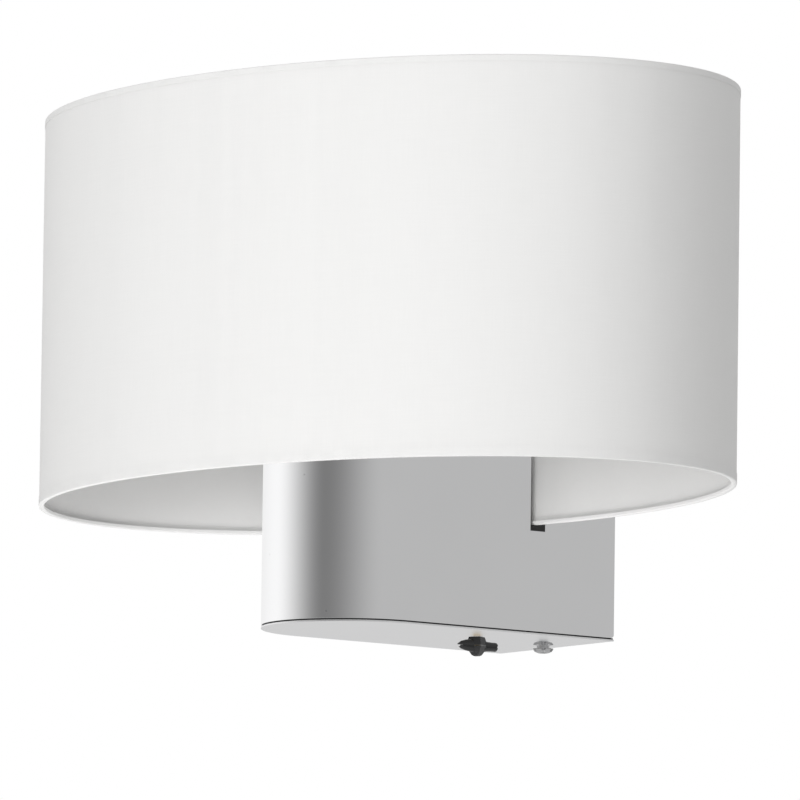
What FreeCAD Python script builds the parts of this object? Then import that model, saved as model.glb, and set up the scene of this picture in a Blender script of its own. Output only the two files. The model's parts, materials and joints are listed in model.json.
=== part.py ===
# Fabric shade wall light: an oval drum shade over a polished sheet-metal body.
# Millimetres. X runs along the wall, the wall is the plane Y = 0 and the lamp
# stands out towards -Y, Z is up. The origin is the centre of the wall bracket.
import FreeCAD, Part
import math
import os
import Sketcher

V = FreeCAD.Vector
DOC = FreeCAD.newDocument("ShadeWallLight")
SHEET = DOC.addObject("Spreadsheet::Sheet", "dims")
NODES = []

# alias, value in mm (or degrees, or a count), what it is
SIZES = [
    ("body_width", 76.0, "outer width of the sheet-metal body"),
    ("nose_reach", 106.6, "nose of the body in front of the back of the shade"),
    ("shell_height", 77.5, "height of the side panels"),
    ("shell_wall", 1.2, "sheet thickness of the side panels"),
    ("gasket_thick", 0.6, "dark gasket between shell and bottom plate"),
    ("gasket_width", 1.0, "width of the gasket strip"),
    ("gasket_inset", 0.7, "gasket edge behind the outer face of the shell"),
    ("plate_thick", 0.7, "bottom plate"),
    ("plate_bevel", 0.35, "bevel round the lower edge of the bottom plate"),
    ("shade_length", 350.0, "oval shade along the wall"),
    ("shade_depth", 230.0, "oval shade away from the wall"),
    ("shade_height", 158.0, "height of the shade"),
    ("shade_side", 80.0, "shade centre beside the bracket centre"),
    ("shade_out", 152.0, "shade centre out from the wall"),
    ("shade_rise", 5.0, "lower rim of the shade above the bracket centre"),
    ("cloth_thick", 0.4, "woven cover"),
    ("liner_thick", 0.5, "stiff liner under the cover"),
    ("strip_thick", 1.8, "steel rim strip"),
    ("hem_cloth", 0.35, "cloth of the rolled hems"),
    ("hem_lower", 4.0, "height of the lower hem outside"),
    ("hem_inside", 1.6, "height of the lower hem inside"),
    ("hem_upper", 2.6, "height of the upper hem"),
    ("seam_width", 9.0, "overlap of the cover at its back seam"),
    ("slot_front_gap", 0.5, "slot edge in front of the hem"),
    ("slot_back_gap", 3.4, "slot edge behind the hem"),
    ("pad_thick", 2.4, "black rest pad in each slot"),
    ("pad_lip", 3.0, "lip of the rest pad inside the shell"),
    ("bracket_sheet", 2.0, "wall bracket thickness"),
    ("bracket_reach", 32.0, "length of the bracket flanges"),
    ("bracket_gap", 0.6, "bracket to shell clearance at each side"),
    ("wall_hole_spacing", 40.0, "wall fixing holes, centre to centre"),
    ("wall_hole_bore", 5.0, "wall fixing hole"),
    ("cable_hole", 16.0, "supply cable hole in the bracket"),
    ("grommet_bore", 9.0, "bore of the supply cable grommet"),
    ("grommet_flange", 21.0, "flange of the supply cable grommet"),
    ("grommet_edge", 1.2, "thickness of the grommet flange at its edge"),
    ("grommet_lip", 0.8, "wall of the grommet lip round the cable"),
    ("stud_side", 15.0, "fixing stud and switch beside the centre plane"),
    ("stud_out", 18.9, "fixing stud out from the wall"),
    ("stud_bore", 4.0, "fixing stud thread"),
    ("stud_drop", 3.6, "stud end below the bottom plate"),
    ("slide_gap", 0.05, "clearance of a close hole, on the radius"),
    ("crown_width", 8.4, "castellated fixing nut"),
    ("crown_height", 4.6, "castellated fixing nut"),
    ("crown_groove", 1.3, "groove round the middle of the nut"),
    ("crown_depth", 1.2, "depth of its groove and notches"),
    ("crown_bevel", 0.8, "bevel of its two ends"),
    ("crown_notch", 1.5, "width of each notch of the nut"),
    ("crown_notches", 6, "notches round the nut"),
    ("hex_small", 7.0, "small nuts, across flats"),
    ("hex_small_height", 2.8, "small nuts"),
    ("bar_width", 14.0, "cross bars inside the shell"),
    ("bar_sheet", 2.0, "cross bar thickness"),
    ("bar_gap", 2.0, "cross bars behind the curve of the nose"),
    ("bar_lip", 7.0, "folded ends of the cross bars"),
    ("bar_screw_spacing", 40.0, "screws in each cross bar"),
    ("screw_bore", 4.0, "machine screw thread"),
    ("screw_head", 7.6, "machine screw head"),
    ("screw_head_height", 2.4, "machine screw head"),
    ("screw_length", 9.0, "machine screw under the head"),
    ("screw_slot", 1.0, "width and depth of the driver slot"),
    ("stud_over", 1.0, "fixing stud above its nut"),
    ("plate_stud_length", 7.0, "studs welded on the bottom plate"),
    ("cover_sheet", 2.0, "front cover with its lamp tongue"),
    ("cover_back_gap", 3.0, "cover edge in front of the shade"),
    ("tongue_width", 24.0, "tongue that carries the lampholder"),
    ("nipple_width", 10.0, "threaded nipple"),
    ("nipple_bore", 7.0, "threaded nipple bore"),
    ("nipple_hex", 15.0, "nipple nuts, across flats"),
    ("nipple_hex_height", 3.0, "nipple nuts"),
    ("nipple_stand", 1.5, "nipple below its lower nut"),
    ("holder_width", 39.0, "lampholder outside"),
    ("holder_wall", 2.0, "lampholder wall"),
    ("holder_cap_height", 13.0, "lampholder base cup"),
    ("holder_body_height", 40.0, "lampholder barrel"),
    ("holder_bevel", 1.0, "bevel of the lampholder's edges"),
    ("holder_grip", 1.6, "collar of the barrel below the shade rings"),
    ("ring_seat", 20.0, "shade ring seat above the base cup"),
    ("ring_width", 52.0, "shade rings outside"),
    ("ring_lower", 4.0, "seat ring height"),
    ("ring_upper", 6.0, "clamp ring height"),
    ("ring_gap", 0.1, "ring to barrel clearance, on the radius"),
    ("ring_bevel", 0.7, "bevel of the shade rings"),
    ("thread_bore", 27.0, "lamp thread sleeve inside"),
    ("thread_wall", 0.6, "lamp thread sleeve wall"),
    ("thread_height", 22.0, "lamp thread sleeve height"),
    ("insert_height", 15.0, "ceramic insert height"),
    ("contact_length", 10.0, "centre contact of the lampholder"),
    ("contact_width", 5.0, "centre contact of the lampholder"),
    ("contact_thick", 1.6, "centre contact of the lampholder"),
    ("spider_sheet", 1.6, "spider washer"),
    ("spider_edge", 2.0, "spider washer outside the shade rings"),
    ("spider_wire", 3.2, "spider arm wire"),
    ("spider_gap", 0.2, "spider arm to rim strip"),
    ("switch_out", 53.5, "switch out from the wall"),
    ("switch_length", 22.0, "switch case"),
    ("switch_width", 20.0, "switch case"),
    ("switch_height", 17.0, "switch case"),
    ("bush_width", 5.0, "switch bush thread"),
    ("bush_drop", 0.2, "switch bush below the bottom plate"),
    ("bush_nut_width", 8.0, "round lock nut between plate and switch case"),
    ("bush_nut_height", 1.1, "round lock nut between plate and switch case"),
    ("shaft_width", 3.4, "switch shaft"),
    ("shaft_inside", 3.0, "switch shaft inside the switch case"),
    ("shaft_gap", 0.05, "shaft clearance, on the radius"),
    ("knob_gap", 0.3, "knob to bush clearance"),
    ("knob_length", 19.0, "span of the knob wings"),
    ("knob_height", 7.7, "knob hub height"),
    ("knob_hub", 8.4, "knob hub width"),
    ("knob_wing", 4.6, "thickness of the knob wings"),
    ("knob_wing_height", 3.8, "height of the knob wings"),
    ("knob_edge", 1.2, "bevel of the knob hub"),
    ("knob_slim", 1.3, "taper of the slim wing"),
    ("knob_round", 0.9, "corners of the thick wing"),
    ("knob_cap", 2.0, "knob below the end of the shaft"),
    ("earth_side", 24.0, "earth stud beside the bracket centre"),
    ("earth_up", 20.0, "earth stud above the bracket centre"),
    ("earth_length", 11.0, "earth stud length"),
    ("block_length", 28.0, "terminal block"),
    ("block_depth", 15.0, "terminal block"),
    ("block_height", 12.0, "terminal block"),
    ("block_pitch", 8.6, "pitch of its poles"),
    ("block_clear", 3.0, "terminal block above the bracket flange"),
    ("block_side", 11.0, "terminal block beside the bracket centre"),
    ("pole_bore", 3.4, "terminal screw wells"),
    ("pole_depth", 6.0, "terminal screw wells"),
    ("pole_screw", 3.0, "terminal screw length"),
    ("holder_lead_width", 5.0, "sleeved lead to the lampholder"),
    ("switch_lead_width", 3.6, "lead to the switch"),
    ("lead_hole", 8.0, "lead hole in the cover"),
    ("lead_margin", 3.0, "lead hole to the back edge of the cover"),
    ("lead_over", 0.6, "lead above the heads of the cover screws"),
    ("lead_bend", 9.0, "bend radius of the holder lead, on the centre line"),
    ("lead_small_bend", 4.5, "bend radius of the switch lead, on the centre line"),
    ("lead_straight", 2.5, "straight end of each lead before its first bend"),
    ("lead_inside", 3.0, "lead end inside the wall of the lampholder"),
    ("lead_mouth_gap", 0.3, "mouth of the lampholder round the lead"),
]
for row, (alias, value, note) in enumerate(SIZES, start=1):
    SHEET.set("A%d" % row, alias)
    SHEET.set("B%d" % row, str(value))
    SHEET.set("C%d" % row, note)
    SHEET.setAlias("B%d" % row, alias)
DOC.recompute()


class Size:
    """A number together with the expression that gives it from the sheet."""

    def __init__(self, value, text):
        self.value = float(value)
        self.text = text

    def mixed(self, other, sign, value):
        return Size(value, "(%s %s %s)" % (self.text, sign, other.text))

    def __add__(self, other):
        other = size(other)
        return self.mixed(other, "+", self.value + other.value)

    def __sub__(self, other):
        other = size(other)
        return self.mixed(other, "-", self.value - other.value)

    def __mul__(self, other):
        other = size(other)
        return self.mixed(other, "*", self.value * other.value)

    def __truediv__(self, other):
        other = size(other)
        return self.mixed(other, "/", self.value / other.value)

    def __radd__(self, other):
        return size(other) + self

    def __rsub__(self, other):
        return size(other) - self

    def __rmul__(self, other):
        return size(other) * self

    def __rtruediv__(self, other):
        return size(other) / self

    def __neg__(self):
        return Size(-self.value, "(0 - %s)" % self.text)

    def __float__(self):
        return self.value


def size(number):
    """A Size from a plain number, or the Size itself."""
    if isinstance(number, Size):
        return number
    if number < 0:
        return Size(number, "(0 - %r)" % -number)
    return Size(number, "%r" % number)


def dim(alias):
    """The sheet's value of that name."""
    return Size(SHEET.get(alias), "dims.%s" % alias)


def root(number):
    number = size(number)
    return Size(math.sqrt(max(number.value, 0.0)), "sqrt(%s)" % number.text)


def bind(obj, path, number):
    obj.setExpression(path, size(number).text)


def place(obj, x=0.0, y=0.0, z=0.0):
    """Put the object at a point that follows the sheet."""
    obj.Placement.Base = V(float(x), float(y), float(z))
    bind(obj, "Placement.Base.x", x)
    bind(obj, "Placement.Base.y", y)
    bind(obj, "Placement.Base.z", z)
    return obj


def keep(obj, label):
    """Register a finished sub-part under its own name."""
    obj.Label = label
    NODES.append(obj)
    return obj


# ---------------------------------------------------------------- body tools

def new_body(name):
    return DOC.addObject("PartDesign::Body", name + "_body")


def origin_feature(body, role):
    """A plane or axis of the body's own origin."""
    for feature in body.Origin.OriginFeatures:
        if feature.Role == role:
            return feature
    raise RuntimeError("no " + role)


def new_sketch(body, role="XY_Plane", offset=0.0):
    """A sketch on a plane of the body's origin, moved along its normal."""
    sketch = body.newObject("Sketcher::SketchObject", "Sketch")
    sketch.AttachmentSupport = (origin_feature(body, role), "")
    sketch.MapMode = "FlatFace"
    sketch.AttachmentOffset.Base = V(0, 0, float(offset))
    bind(sketch, "AttachmentOffset.Base.z", offset)
    return sketch


def fix_length(sketch, kind, number, *ends):
    """A sketch distance bound to the sheet."""
    index = sketch.addConstraint(Sketcher.Constraint(kind, *ends, float(number)))
    name = "c%d" % index
    sketch.renameConstraint(index, name)
    bind(sketch, "Constraints." + name, number)


def fix_point(sketch, geometry, end, x, y):
    """Hold a point of the sketch at x, y from the sheet."""
    fix_length(sketch, "DistanceX", x, -1, 1, geometry, end)
    fix_length(sketch, "DistanceY", y, -1, 1, geometry, end)


def polygon(sketch, points):
    """A closed outline through points, each held at its own x and y."""
    count = len(points)
    plain = [V(float(x), float(y), 0) for x, y in points]
    first = sketch.GeometryCount
    for i in range(count):
        sketch.addGeometry(Part.LineSegment(plain[i], plain[(i + 1) % count]), False)
    for i in range(count):
        following = first + (i + 1) % count
        sketch.addConstraint(Sketcher.Constraint("Coincident", first + i, 2, following, 1))
    for i in range(count):
        fix_point(sketch, first + i, 1, *points[i])
    return first


def rectangle(sketch, x0, x1, y0, y1):
    return polygon(sketch, [(x0, y0), (x1, y0), (x1, y1), (x0, y1)])


def circle(sketch, x, y, radius):
    centre = V(float(x), float(y), 0)
    index = sketch.addGeometry(Part.Circle(centre, V(0, 0, 1), float(radius)), False)
    fix_length(sketch, "Radius", radius, index)
    fix_point(sketch, index, 3, x, y)
    return index


def bullet(sketch, half, back, front):
    """Closed plan outline: two sides, a half-round nose and a straight back."""
    turn = front + half
    right = V(float(half), float(turn), 0)
    left = V(-float(half), float(turn), 0)
    arc = Part.Arc(left, V(0, float(front), 0), right)
    lines = [
        Part.LineSegment(V(float(half), float(back), 0), V(-float(half), float(back), 0)),
        Part.LineSegment(V(-float(half), float(back), 0), left),
        arc,
        Part.LineSegment(right, V(float(half), float(back), 0)),
    ]
    first = sketch.GeometryCount
    for line in lines:
        sketch.addGeometry(line, False)
    for a, end_a, b, end_b in ((0, 2, 1, 1), (1, 2, 2, 1), (2, 2, 3, 1), (3, 2, 0, 1)):
        sketch.addConstraint(
            Sketcher.Constraint("Coincident", first + a, end_a, first + b, end_b))
    fix_point(sketch, first, 1, half, back)
    fix_point(sketch, first, 2, -half, back)
    fix_point(sketch, first + 2, 3, 0.0, turn)
    fix_point(sketch, first + 2, 1, -half, turn)
    sketch.addConstraint(Sketcher.Constraint("Horizontal", first + 2, 1, first + 2, 2))
    return first


def pad(body, sketch, length, reverse=False, both=False):
    feature = body.newObject("PartDesign::Pad", "Pad")
    feature.Profile = sketch
    feature.Length = float(length)
    bind(feature, "Length", length)
    feature.Reversed = reverse
    feature.Midplane = both
    sketch.Visibility = False
    return feature


def pocket(body, sketch, length, reverse=False):
    feature = body.newObject("PartDesign::Pocket", "Pocket")
    feature.Profile = sketch
    feature.Length = float(length)
    bind(feature, "Length", length)
    feature.Reversed = reverse
    sketch.Visibility = False
    return feature


def revolve(body, sketch):
    """Turn a sketch round the body's own Z axis."""
    feature = body.newObject("PartDesign::Revolution", "Turned")
    feature.Profile = sketch
    feature.ReferenceAxis = (origin_feature(body, "Z_Axis"), [""])
    feature.Angle = 360.0
    sketch.Visibility = False
    return feature


def turned(name, profile):
    """A body turned round Z from an outline of (radius, height) points."""
    body = new_body(name)
    sketch = new_sketch(body, "XZ_Plane")
    polygon(sketch, profile)
    revolve(body, sketch)
    return body


# ---------------------------------------------------------- primitive tools

def box(name, x0, x1, y0, y1, z0, z1):
    item = DOC.addObject("Part::Box", name)
    for path, low, high in (("Length", x0, x1), ("Width", y0, y1), ("Height", z0, z1)):
        length = size(high) - size(low)
        setattr(item, path, float(length))
        bind(item, path, length)
    return place(item, x0, y0, z0)


def cylinder(name, radius, x, y, z0, z1):
    item = DOC.addObject("Part::Cylinder", name)
    height = size(z1) - size(z0)
    item.Radius = float(radius)
    item.Height = float(height)
    bind(item, "Radius", radius)
    bind(item, "Height", height)
    return place(item, x, y, z0)


def hexagon(name, flats, x, y, z0, height):
    item = DOC.addObject("Part::Prism", name)
    item.Polygon = 6
    item.Circumradius = float(flats) / math.sqrt(3)
    item.Height = float(height)
    bind(item, "Circumradius", size(flats) / root(3.0))
    bind(item, "Height", height)
    return place(item, x, y, z0)


def turn_object(item, axis, degrees):
    item.Placement.Rotation = FreeCAD.Rotation(axis, degrees)
    return item


def fuse(name, items):
    result = DOC.addObject("Part::MultiFuse", name)
    result.Shapes = items
    return result


def cut(name, base, tool):
    result = DOC.addObject("Part::Cut", name)
    result.Base = base
    result.Tool = tool
    return result


def group(name, items):
    """Several equal pieces kept as one sub-part."""
    result = DOC.addObject("Part::Compound", name)
    result.Links = items
    return result


def oval(name, inward, z0, z1):
    """Solid oval drum, its face that far inside the cover's outer face."""
    ring = DOC.addObject("Part::Ellipse", name + "_rim")
    major = SHADE_A - inward
    minor = SHADE_B - inward
    ring.MajorRadius = float(major)
    ring.MinorRadius = float(minor)
    bind(ring, "MajorRadius", major)
    bind(ring, "MinorRadius", minor)
    place(ring, SHADE_X, SHADE_Y, z0)
    drum = DOC.addObject("Part::Extrusion", name)
    drum.Base = ring
    drum.DirMode = "Custom"
    drum.Dir = V(0, 0, 1)
    drum.Solid = True
    height = size(z1) - size(z0)
    drum.LengthFwd = float(height)
    bind(drum, "LengthFwd", height)
    return drum


# -------------------------------------------------------- heights and places

OVER = 1.0  # how far a cutting tool runs past the piece

HALF = dim("body_width") / 2
INNER = HALF - dim("shell_wall")
FRONT = -(dim("shade_out") - dim("shade_depth") / 2 + dim("nose_reach"))
TOP = dim("shell_height") / 2
BOTTOM = -TOP
PLATE_TOP = BOTTOM - dim("gasket_thick")
PLATE_LOW = PLATE_TOP - dim("plate_thick")

SHADE_A = dim("shade_length") / 2
SHADE_B = dim("shade_depth") / 2
SHADE_X = dim("shade_side")
SHADE_Y = -dim("shade_out")
RIM_LOW = dim("shade_rise")
RIM_TOP = RIM_LOW + dim("shade_height")

CLOTH_IN = dim("cloth_thick")
LINER_IN = CLOTH_IN + dim("liner_thick")
STRIP_IN = LINER_IN + dim("strip_thick")
HEM_IN = STRIP_IN + dim("hem_cloth")
HEM_OUT = -dim("hem_cloth")

COVER_TOP = TOP + dim("cover_sheet")
HOLDER_LOW = COVER_TOP
CAP_TOP = HOLDER_LOW + dim("holder_cap_height")
BARREL_TOP = CAP_TOP + dim("holder_body_height")
SEAT = CAP_TOP + dim("ring_seat")
SPIDER_LOW = SEAT + dim("ring_lower")
SPIDER_TOP = SPIDER_LOW + dim("spider_sheet")
BARREL = dim("holder_width") / 2

STUD_X = dim("stud_side")
STUD_Y = -dim("stud_out")
SWITCH_Y = -dim("switch_out")
BAR_Y = FRONT + HALF + dim("bar_gap") + dim("bar_width") / 2
EARTH_X = -dim("earth_side")
EARTH_Z = dim("earth_up")
BLOCK_TOP = PLATE_TOP + dim("bracket_sheet") + dim("block_clear") + dim("block_height")
KNOB_TOP = PLATE_LOW - dim("bush_drop") - dim("knob_gap")
KNOB_LOW = KNOB_TOP - dim("knob_height")
CASE_LOW = PLATE_TOP + dim("bush_nut_height")
CASE_TOP = CASE_LOW + dim("switch_height")


def shade_back(x, inward):
    """Y of the back of the shade at this X, that far inside the cover."""
    major = SHADE_A - inward
    minor = SHADE_B - inward
    across = (size(x) - SHADE_X) / major
    return SHADE_Y + minor * root(1 - across * across)


def slot_span(side):
    """Front and back Y of the slot that the shade stands in, on one side."""
    faces = (HALF, INNER) if side > 0 else (-HALF, -INNER)
    front = shade_back(faces[0] if side < 0 else faces[1], HEM_IN)
    back = shade_back(faces[0] if side > 0 else faces[1], HEM_OUT)
    return front - dim("slot_front_gap"), back + dim("slot_back_gap")


def cover_back(x):
    """Y of the oblique back edge of the front cover at this X."""
    left = slot_span(-1)[0]
    right = slot_span(1)[0]
    share = (size(x) + HALF) / (HALF * 2)
    return left + (right - left) * share - dim("cover_back_gap")


LEAD_X = -dim("block_side")
LEAD_Y = cover_back(LEAD_X) - dim("lead_margin") - dim("lead_hole") / 2
LEAD_Z = COVER_TOP + dim("screw_head_height") + dim("lead_over") + dim("holder_lead_width") / 2


# ------------------------------------------------------------- metal body

def make_shell():
    """Side panels and half-round nose bent from one sheet, open at the wall."""
    body = new_body("body_shell")
    sketch = new_sketch(body, "XY_Plane", BOTTOM)
    bullet(sketch, HALF, 0.0, FRONT)
    pad(body, sketch, dim("shell_height"))
    hollow = new_sketch(body, "XY_Plane", BOTTOM)
    bullet(hollow, INNER, OVER, FRONT + dim("shell_wall"))
    pocket(body, hollow, dim("shell_height"), reverse=True)
    slots = new_sketch(body, "XY_Plane", TOP)
    for side in (1, -1):
        front, back = slot_span(side)
        rectangle(slots, (INNER - OVER) * side, (HALF + OVER) * side, front, back)
    pocket(body, slots, TOP - (RIM_LOW - dim("pad_thick")))
    keep(body, "body_shell")


def make_pad(side, label):
    """Black pad in the floor of a slot, with a lip inside the panel."""
    body = new_body(label)
    front, back = slot_span(side)
    sketch = new_sketch(body, "XZ_Plane", -front)
    floor = RIM_LOW - dim("pad_thick")
    lip = INNER - dim("pad_thick")
    points = [
        (HALF, floor),
        (HALF, RIM_LOW),
        (lip, RIM_LOW),
        (lip, floor - dim("pad_lip")),
        (INNER, floor - dim("pad_lip")),
        (INNER, floor),
    ]
    polygon(sketch, [(x * side, z) for x, z in points])
    pad(body, sketch, back - front, reverse=True)
    keep(body, label)


def make_gasket():
    """Dark strip between the shell and the bottom plate, open at the wall."""
    body = new_body("plate_gasket")
    edge = dim("gasket_inset")
    inner = edge + dim("gasket_width")
    sketch = new_sketch(body, "XY_Plane", PLATE_TOP)
    bullet(sketch, HALF - edge, 0.0, FRONT + edge)
    pad(body, sketch, dim("gasket_thick"))
    hole = new_sketch(body, "XY_Plane", PLATE_TOP)
    bullet(hole, HALF - inner, OVER, FRONT + inner)
    pocket(body, hole, dim("gasket_thick"), reverse=True)
    keep(body, "plate_gasket")


def make_plate():
    """Bottom plate with the holes of the switch and of the fixing stud."""
    body = new_body("bottom_plate")
    sketch = new_sketch(body, "XY_Plane", PLATE_LOW)
    bullet(sketch, HALF, 0.0, FRONT)
    base = pad(body, sketch, dim("plate_thick"))
    DOC.recompute()
    low = [
        "Edge%d" % (i + 1)
        for i, edge in enumerate(base.Shape.Edges)
        if abs(edge.BoundBox.ZMax - float(PLATE_LOW)) < 1e-6
    ]
    bevel = body.newObject("PartDesign::Chamfer", "Bevel")
    bevel.Base = (base, low)
    bevel.Size = float(dim("plate_bevel"))
    bind(bevel, "Size", dim("plate_bevel"))
    holes = new_sketch(body, "XY_Plane", PLATE_LOW)
    circle(holes, STUD_X, STUD_Y, dim("stud_bore") / 2 + dim("slide_gap"))
    circle(holes, STUD_X, SWITCH_Y, dim("bush_width") / 2 + dim("slide_gap"))
    pocket(body, holes, dim("plate_thick"), reverse=True)
    keep(body, "bottom_plate")


def make_bracket():
    """C-shaped wall bracket: back plate with an upper and a lower flange."""
    body = new_body("wall_bracket")
    sketch = new_sketch(body, "YZ_Plane")
    sheet = dim("bracket_sheet")
    reach = -dim("bracket_reach")
    high = TOP - dim("bracket_gap")
    outline = [
        (0.0, PLATE_TOP),
        (0.0, high),
        (reach, high),
        (reach, high - sheet),
        (-sheet, high - sheet),
        (-sheet, PLATE_TOP + sheet),
        (reach, PLATE_TOP + sheet),
        (reach, PLATE_TOP),
    ]
    polygon(sketch, outline)
    pad(body, sketch, (INNER - dim("bracket_gap")) * 2, both=True)
    holes = new_sketch(body, "XZ_Plane")
    for side in (-1, 1):
        circle(holes, dim("wall_hole_spacing") / 2 * side, 0.0, dim("wall_hole_bore") / 2)
    circle(holes, 0.0, 0.0, dim("cable_hole") / 2)
    circle(holes, EARTH_X, EARTH_Z, dim("screw_bore") / 2 + dim("slide_gap"))
    pocket(body, holes, sheet, reverse=True)
    stud = new_sketch(body, "XY_Plane", PLATE_TOP)
    circle(stud, STUD_X, STUD_Y, dim("stud_bore") / 2 + dim("slide_gap"))
    pocket(body, stud, sheet, reverse=True)
    keep(body, "wall_bracket")


def make_grommet():
    """Bush round the supply cable in the bracket."""
    bore = dim("grommet_bore") / 2
    neck = dim("cable_hole") / 2
    flange = dim("grommet_flange") / 2
    sheet = dim("bracket_sheet")
    edge = dim("grommet_edge")
    profile = [
        (bore, 0.0),
        (neck, 0.0),
        (neck, sheet),
        (flange, sheet),
        (flange, sheet + edge),
        (bore + dim("grommet_lip"), sheet + edge * 2),
        (bore, sheet + edge * 2),
    ]
    body = turned("cable_grommet", profile)
    turn_object(body, V(1, 0, 0), 90)
    keep(body, "cable_grommet")


def make_fixings():
    """Studs and hex nuts that hold bracket, plate and earth wire."""
    bore = dim("stud_bore") / 2
    flange = PLATE_TOP + dim("bracket_sheet")
    nut = dim("hex_small_height")
    low = PLATE_LOW - dim("stud_drop")
    stud = cylinder("fixing_stud", bore, STUD_X, STUD_Y, low, flange + nut + dim("stud_over"))
    keep(stud, "fixing_stud")
    screw = dim("screw_bore") / 2
    spots = [dim("bar_screw_spacing") / 2 * side for side in (-1, 1)]
    studs = [
        cylinder("weld_stud", screw, x, BAR_Y, PLATE_TOP, PLATE_TOP + dim("plate_stud_length"))
        for x in spots
    ]
    keep(group("plate_studs", studs), "plate_studs")
    earth = cylinder("earth_stud", screw, EARTH_X, 0.0, 0.0, dim("earth_length"))
    place(earth, EARTH_X, 0.0, EARTH_Z)
    keep(turn_object(earth, V(1, 0, 0), 90), "earth_stud")
    bar_top = BOTTOM + dim("bar_sheet")
    nuts = [drilled_hex(STUD_X, STUD_Y, flange)]
    nuts += [drilled_hex(x, BAR_Y, bar_top) for x in spots]
    earth_nut = drilled_hex(0.0, 0.0, dim("bracket_sheet"))
    holder = group("earth_nut", [earth_nut])
    place(holder, EARTH_X, 0.0, EARTH_Z)
    turn_object(holder, V(1, 0, 0), 90)
    keep(group("hex_nuts", nuts + [holder]), "hex_nuts")


def drilled_hex(x, y, z):
    """One small hex nut."""
    flats = dim("hex_small")
    height = dim("hex_small_height")
    bore = dim("stud_bore") / 2 + dim("slide_gap")
    blank = hexagon("hex_blank", flats, x, y, z, height)
    tool = cylinder("hex_bore", bore, x, y, z, z + height)
    return cut("hex_nut", blank, tool)


def make_crown_nut():
    """Castellated fixing nut under the bottom plate."""
    bore = dim("stud_bore") / 2 + dim("slide_gap")
    wide = dim("crown_width") / 2
    neck = wide - dim("crown_depth")
    bevel = dim("crown_bevel")
    half = dim("crown_groove") / 2
    high = PLATE_LOW
    low = high - dim("crown_height")
    middle = high - dim("crown_height") / 2
    profile = [
        (bore, low),
        (wide - bevel, low),
        (wide, low + bevel),
        (wide, middle - half),
        (neck, middle - half),
        (neck, middle + half),
        (wide, middle + half),
        (wide, high - bevel),
        (wide - bevel, high),
        (bore, high),
    ]
    body = turned("crown_nut", profile)
    notch = new_sketch(body, "XY_Plane", high)
    gap = dim("crown_notch") / 2
    rectangle(notch, neck, wide + OVER, -gap, gap)
    first = pocket(body, notch, dim("crown_height"))
    DOC.recompute()
    ring = body.newObject("PartDesign::PolarPattern", "Notches")
    ring.Originals = [first]
    ring.Axis = (origin_feature(body, "Z_Axis"), [""])
    ring.Angle = 360.0
    bind(ring, "Occurrences", dim("crown_notches"))
    body.Tip = ring
    place(body, STUD_X, STUD_Y, 0.0)
    keep(body, "crown_nut")


def make_bar(label, level, fold):
    """Cross bar inside the shell; its folded ends lie on the side panels."""
    body = new_body(label)
    sketch = new_sketch(body, "XZ_Plane", -BAR_Y)
    sheet = dim("bar_sheet") * fold
    lip = dim("bar_lip") * fold
    inside = INNER - dim("bar_sheet")
    outline = [
        (-INNER, level),
        (INNER, level),
        (INNER, level - lip),
        (inside, level - lip),
        (inside, level - sheet),
        (-inside, level - sheet),
        (-inside, level - lip),
        (-INNER, level - lip),
    ]
    polygon(sketch, outline)
    pad(body, sketch, dim("bar_width"), both=True)
    holes = new_sketch(body, "XY_Plane", level)
    for side in (-1, 1):
        spot = dim("bar_screw_spacing") / 2 * side
        circle(holes, spot, BAR_Y, dim("screw_bore") / 2 + dim("slide_gap"))
    pocket(body, holes, dim("bar_sheet"), reverse=fold < 0)
    keep(body, label)


def make_cover():
    """Front cover of the shell with the tongue that carries the lampholder."""
    body = new_body("front_cover")
    sheet = dim("cover_sheet")
    plan = new_sketch(body, "XY_Plane", TOP)
    bullet(plan, HALF, -dim("bracket_reach"), FRONT)
    pad(body, plan, sheet)
    trim = new_sketch(body, "XY_Plane", TOP)
    edge = HALF + OVER
    polygon(trim, [
        (-edge, cover_back(-edge)),
        (edge, cover_back(edge)),
        (edge, 0.0),
        (-edge, 0.0),
    ])
    pocket(body, trim, sheet, reverse=True)
    tongue = new_sketch(body, "XY_Plane", TOP)
    half = dim("tongue_width") / 2
    along_x, along_y = tongue_direction()
    start = (size(0.0), BAR_Y)
    end = (SHADE_X, SHADE_Y)
    polygon(tongue, [
        (start[0] - along_y * half, start[1] + along_x * half),
        (start[0] + along_y * half, start[1] - along_x * half),
        (end[0] + along_y * half, end[1] - along_x * half),
        (end[0] - along_y * half, end[1] + along_x * half),
    ])
    pad(body, tongue, sheet)
    eye = new_sketch(body, "XY_Plane", TOP)
    circle(eye, SHADE_X, SHADE_Y, half)
    pad(body, eye, sheet)
    holes = new_sketch(body, "XY_Plane", TOP)
    circle(holes, SHADE_X, SHADE_Y, dim("nipple_width") / 2 + dim("slide_gap"))
    for side in (-1, 1):
        spot = dim("bar_screw_spacing") / 2 * side
        circle(holes, spot, BAR_Y, dim("screw_bore") / 2 + dim("slide_gap"))
    circle(holes, LEAD_X, LEAD_Y, dim("lead_hole") / 2)
    pocket(body, holes, sheet, reverse=True)
    keep(body, "front_cover")


def tongue_direction():
    """Unit direction in plan from the cover to the lampholder."""
    across = SHADE_X
    out = SHADE_Y - BAR_Y
    length = root(across * across + out * out)
    return across / length, out / length


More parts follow.
